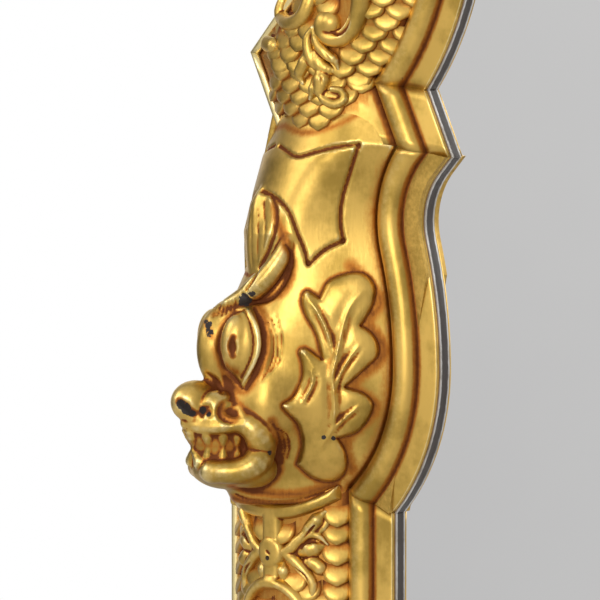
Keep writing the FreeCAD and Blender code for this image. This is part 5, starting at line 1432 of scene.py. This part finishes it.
def woodMaterial(name, light, dark, scale):
    wood = finish(name)
    grain = wood.grain(woodLook["stretch"], scale, 6.0, 0.6)
    ring = wood.between(grain, woodLook["ringFrom"], woodLook["ringTo"])
    colour = wood.mix(ring, dark, light)
    colour = wood.mix(wood.between(wood.noise(14.0), 0.5, 0.8) * 0.5, colour, dark)
    return wood.set(Base_Color=colour, Roughness=ring * 0.15 + 0.55, Normal=wood.bump(grain, 0.25, 0.0008))


def metalMaterial(name, light, dark, rough):
    metal = finish(name)
    darkening = metal.between(metal.noise(160.0, 5.0), 0.42, 0.70)
    scratch = metal.noise(2200.0, 2.0)
    return metal.set(Base_Color=metal.mix(darkening, light, dark), Metallic=1.0,
                     Roughness=darkening * 0.22 + scratch * 0.1 + rough, Normal=metal.bump(scratch, 0.12, 0.0002))


# members: gilt in front and on the sides, bare wood behind a soft line near the wall
memberLook = {"giltTo": -0.012, "soft": 0.001, "light": rgb(0.36, 0.22, 0.11), "dark": rgb(0.17, 0.09, 0.045)}


def memberMaterial(name):
    wood = finish(name)
    depth, broad = wood.depth(), wood.noise(38.0, 5.0, 0.6)
    fine = wood.noise(giltLook["specks"], 4.0, 0.6)
    giltTo, soft = memberLook["giltTo"], memberLook["soft"]
    back = wood.between(depth + (fine - 0.5) * 0.004, giltTo - soft, giltTo + soft)
    gold = wood.mix(wood.between(broad * 0.6 + fine * 0.4, 0.36, 0.66), giltLook["olive"], giltLook["leaf"])
    grain = wood.grain(woodLook["stretch"], 22.0, 6.0)
    ring = wood.between(grain, woodLook["ringFrom"], woodLook["ringTo"])
    bare = wood.mix(ring, memberLook["dark"], memberLook["light"])
    return wood.set(Base_Color=wood.mix(back, gold, bare), Metallic=(1.0 - back) * 0.85,
                    Roughness=fine * 0.2 + 0.38 + back * 0.2,
                    Normal=wood.bump(grain * back + fine * 0.5, 0.25, 0.0006))


slipLook = {"clean": rgb(0.66, 0.65, 0.62), "tarnished": rgb(0.34, 0.30, 0.24),
            "shade": rgb(0.055, 0.042, 0.034), "shadeFrom": -0.0208, "shadeTo": -0.0200}


def slipMaterial(name):  # silver leaf, dark below the silvered edge
    silver = finish(name)
    tarnish = silver.between(silver.noise(60.0, 6.0), 0.44, 0.72)
    edge = silver.depth() + (silver.noise(300.0) - 0.5) * 0.0008
    shade = silver.between(edge, slipLook["shadeFrom"], slipLook["shadeTo"])
    leaf = silver.mix(tarnish, slipLook["clean"], slipLook["tarnished"])
    return silver.set(Base_Color=silver.mix(shade, leaf, slipLook["shade"]), Metallic=(1.0 - shade) * 0.6,
                      Roughness=tarnish * 0.25 + 0.32, Normal=silver.bump(silver.noise(500.0), 0.2, 0.0003))


plateLook = {"clear": rgb(0.905, 0.90, 0.895), "hazy": rgb(0.88, 0.875, 0.875)}


def plateMaterial(name):  # old silvering with a faint haze
    plate = finish(name)
    haze = plate.between(plate.noise(6.0, 3.0), 0.35, 0.75)
    return plate.set(Base_Color=plate.mix(haze, plateLook["clear"], plateLook["hazy"]), Metallic=1.0,
                     Roughness=haze * 0.012 + 0.015)


memberWood = memberMaterial("giltOverWood")
keyWood = woodMaterial("keyHardwood", rgb(0.30, 0.17, 0.08), rgb(0.14, 0.07, 0.03), 30.0)
agedBrass = metalMaterial("agedBrass", rgb(0.68, 0.50, 0.22), rgb(0.26, 0.17, 0.07), 0.28)
dullSteel = metalMaterial("dullSteel", rgb(0.50, 0.49, 0.47), rgb(0.22, 0.19, 0.17), 0.32)
nodeLooks = {
    "backboard": woodMaterial("backboardPine", rgb(0.50, 0.34, 0.19), rgb(0.27, 0.16, 0.08), 15.0),
    "joint_keys": keyWood, "mask_dowels": keyWood,
    "backing_card": woodMaterial("backingCard", rgb(0.46, 0.38, 0.28), rgb(0.36, 0.29, 0.21), 40.0),
    "mirror_plate": plateMaterial("silveredPlate"), "sight_slips": slipMaterial("silverLeaf"),
    "strap_pins": metalMaterial("darkPin", rgb(0.10, 0.07, 0.05), rgb(0.03, 0.02, 0.015), 0.45),
}


def nodeLook(name):
    if name in nodeLooks:
        return nodeLooks[name]
    if "screws" in name or "hanger" in name:
        return dullSteel
    if name.startswith("turn_button"):
        return agedBrass
    isMember = name.split("_", 1)[-1] in ("stile", "shoulder", "knee", "scroll", "arch", "rail")
    return memberWood if isMember else gilt


for name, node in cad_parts.items():
    node.data.materials.clear()
    node.data.materials.append(nodeLook(name))
print("cad finishes done")

# floor, world and lamps
floorLook = {"half": 2.6, "below": 0.02, "tones": (rgb(0.86, 0.86, 0.86), rgb(0.90, 0.90, 0.90))}
half, low = floorLook["half"], cadBox[0][2] - floorLook["below"]
floorMesh = bpy.data.meshes.new("floor")
floorCorners = [(x * half, y * half, low) for x, y in ((-1, -1), (1, -1), (1, 1), (-1, 1))]
floorMesh.from_pydata(floorCorners, [], [(0, 1, 2, 3)])
floor = bpy.data.objects.new("floor", floorMesh)
scene.collection.objects.link(floor)
paleFloor = finish("paleFloor")
floorTone = paleFloor.mix(paleFloor.noise(3.0), *floorLook["tones"])
floorMesh.materials.append(paleFloor.set(Base_Color=floorTone, Roughness=0.9))

# camera and transmission rays see white; glossy rays see white behind the object, and on the viewer's side
# a grey studio that is brightest one way, so that the gilding has lights and darks
studio = {"light": 0.40, "white": 1.0, "dim": 0.08, "bright": 0.82, "from": -0.45, "to": 0.95,
          "way": (0.25, -0.85, 0.46), "behind": (0.0, 1.0, 0.0), "whiteFrom": 0.0, "whiteTo": 0.5}
world = bpy.data.worlds.new("studio")
scene.world = world
world.use_nodes = True
tree = world.node_tree


def worldNode(kind, settings=None, links=None, **values):
    made = tree.nodes.new(kind)
    for key, value in (settings or {}).items():
        setattr(made, key, value)
    for key, value in values.items():
        made.inputs[key.replace("_", " ")].default_value = value
    for key, source in (links or {}).items():
        tree.links.new(source, made.inputs[key])
    return made


def studioFade(way, low, high, dim, bright):  # strength that rises towards one way
    toward = worldNode("ShaderNodeVectorMath", {"operation": "DOT_PRODUCT"}, {0: skyWay})
    toward.inputs[1].default_value = way
    fade = worldNode("ShaderNodeMapRange", {"interpolation_type": "SMOOTHSTEP"},
                     {"Value": toward.outputs["Value"]}, From_Min=low, From_Max=high, To_Min=dim,
                     To_Max=bright)
    return fade.outputs["Result"]


def studioSide(strength=None, source=None):
    side = worldNode("ShaderNodeBackground", None, {"Strength": source} if source else None,
                     Color=rgb(1.0, 1.0, 1.0), **({} if source else {"Strength": strength}))
    return side.outputs[0]


path = worldNode("ShaderNodeLightPath").outputs
skyWay = worldNode("ShaderNodeTexCoord").outputs["Generated"]
graded = studioFade(studio["way"], studio["from"], studio["to"], studio["dim"], studio["bright"])
white = studioFade(studio["behind"], studio["whiteFrom"], studio["whiteTo"], 0.0, studio["white"])
mirrored = worldNode("ShaderNodeMath", {"operation": "MAXIMUM"}, {0: graded, 1: white}).outputs[0]
seen = worldNode("ShaderNodeMath", {"operation": "MAXIMUM"},
                 {0: path["Is Camera Ray"], 1: path["Is Transmission Ray"]}).outputs[0]
lit = worldNode("ShaderNodeMixShader", None, {0: path["Is Glossy Ray"], 1: studioSide(studio["light"]),
                                              2: studioSide(source=mirrored)}).outputs[0]
shown = worldNode("ShaderNodeMixShader", None, {0: seen, 1: lit, 2: studioSide(studio["white"])}).outputs[0]
tree.links.new(shown, tree.nodes["World Output"].inputs["Surface"])

lamps = {
    "key": {"place": (0.66, -2.8, 1.52), "size": 1.3, "watts": 31.0},
    "fill": {"place": (-1.8, -2.2, 2.2), "size": 1.6, "watts": 22.0},
}
for name, lamp in lamps.items():
    data = bpy.data.lights.new(name, "AREA")
    data.size, data.energy = lamp["size"], lamp["watts"]
    light = bpy.data.objects.new(name, data)
    light.location = lamp["place"]
    light.rotation_mode = "QUATERNION"
    aim = Vector(np.array(lens["target"]) * mm) - Vector(lamp["place"])
    light.rotation_quaternion = aim.to_track_quat("-Z", "Y")
    scene.collection.objects.link(light)
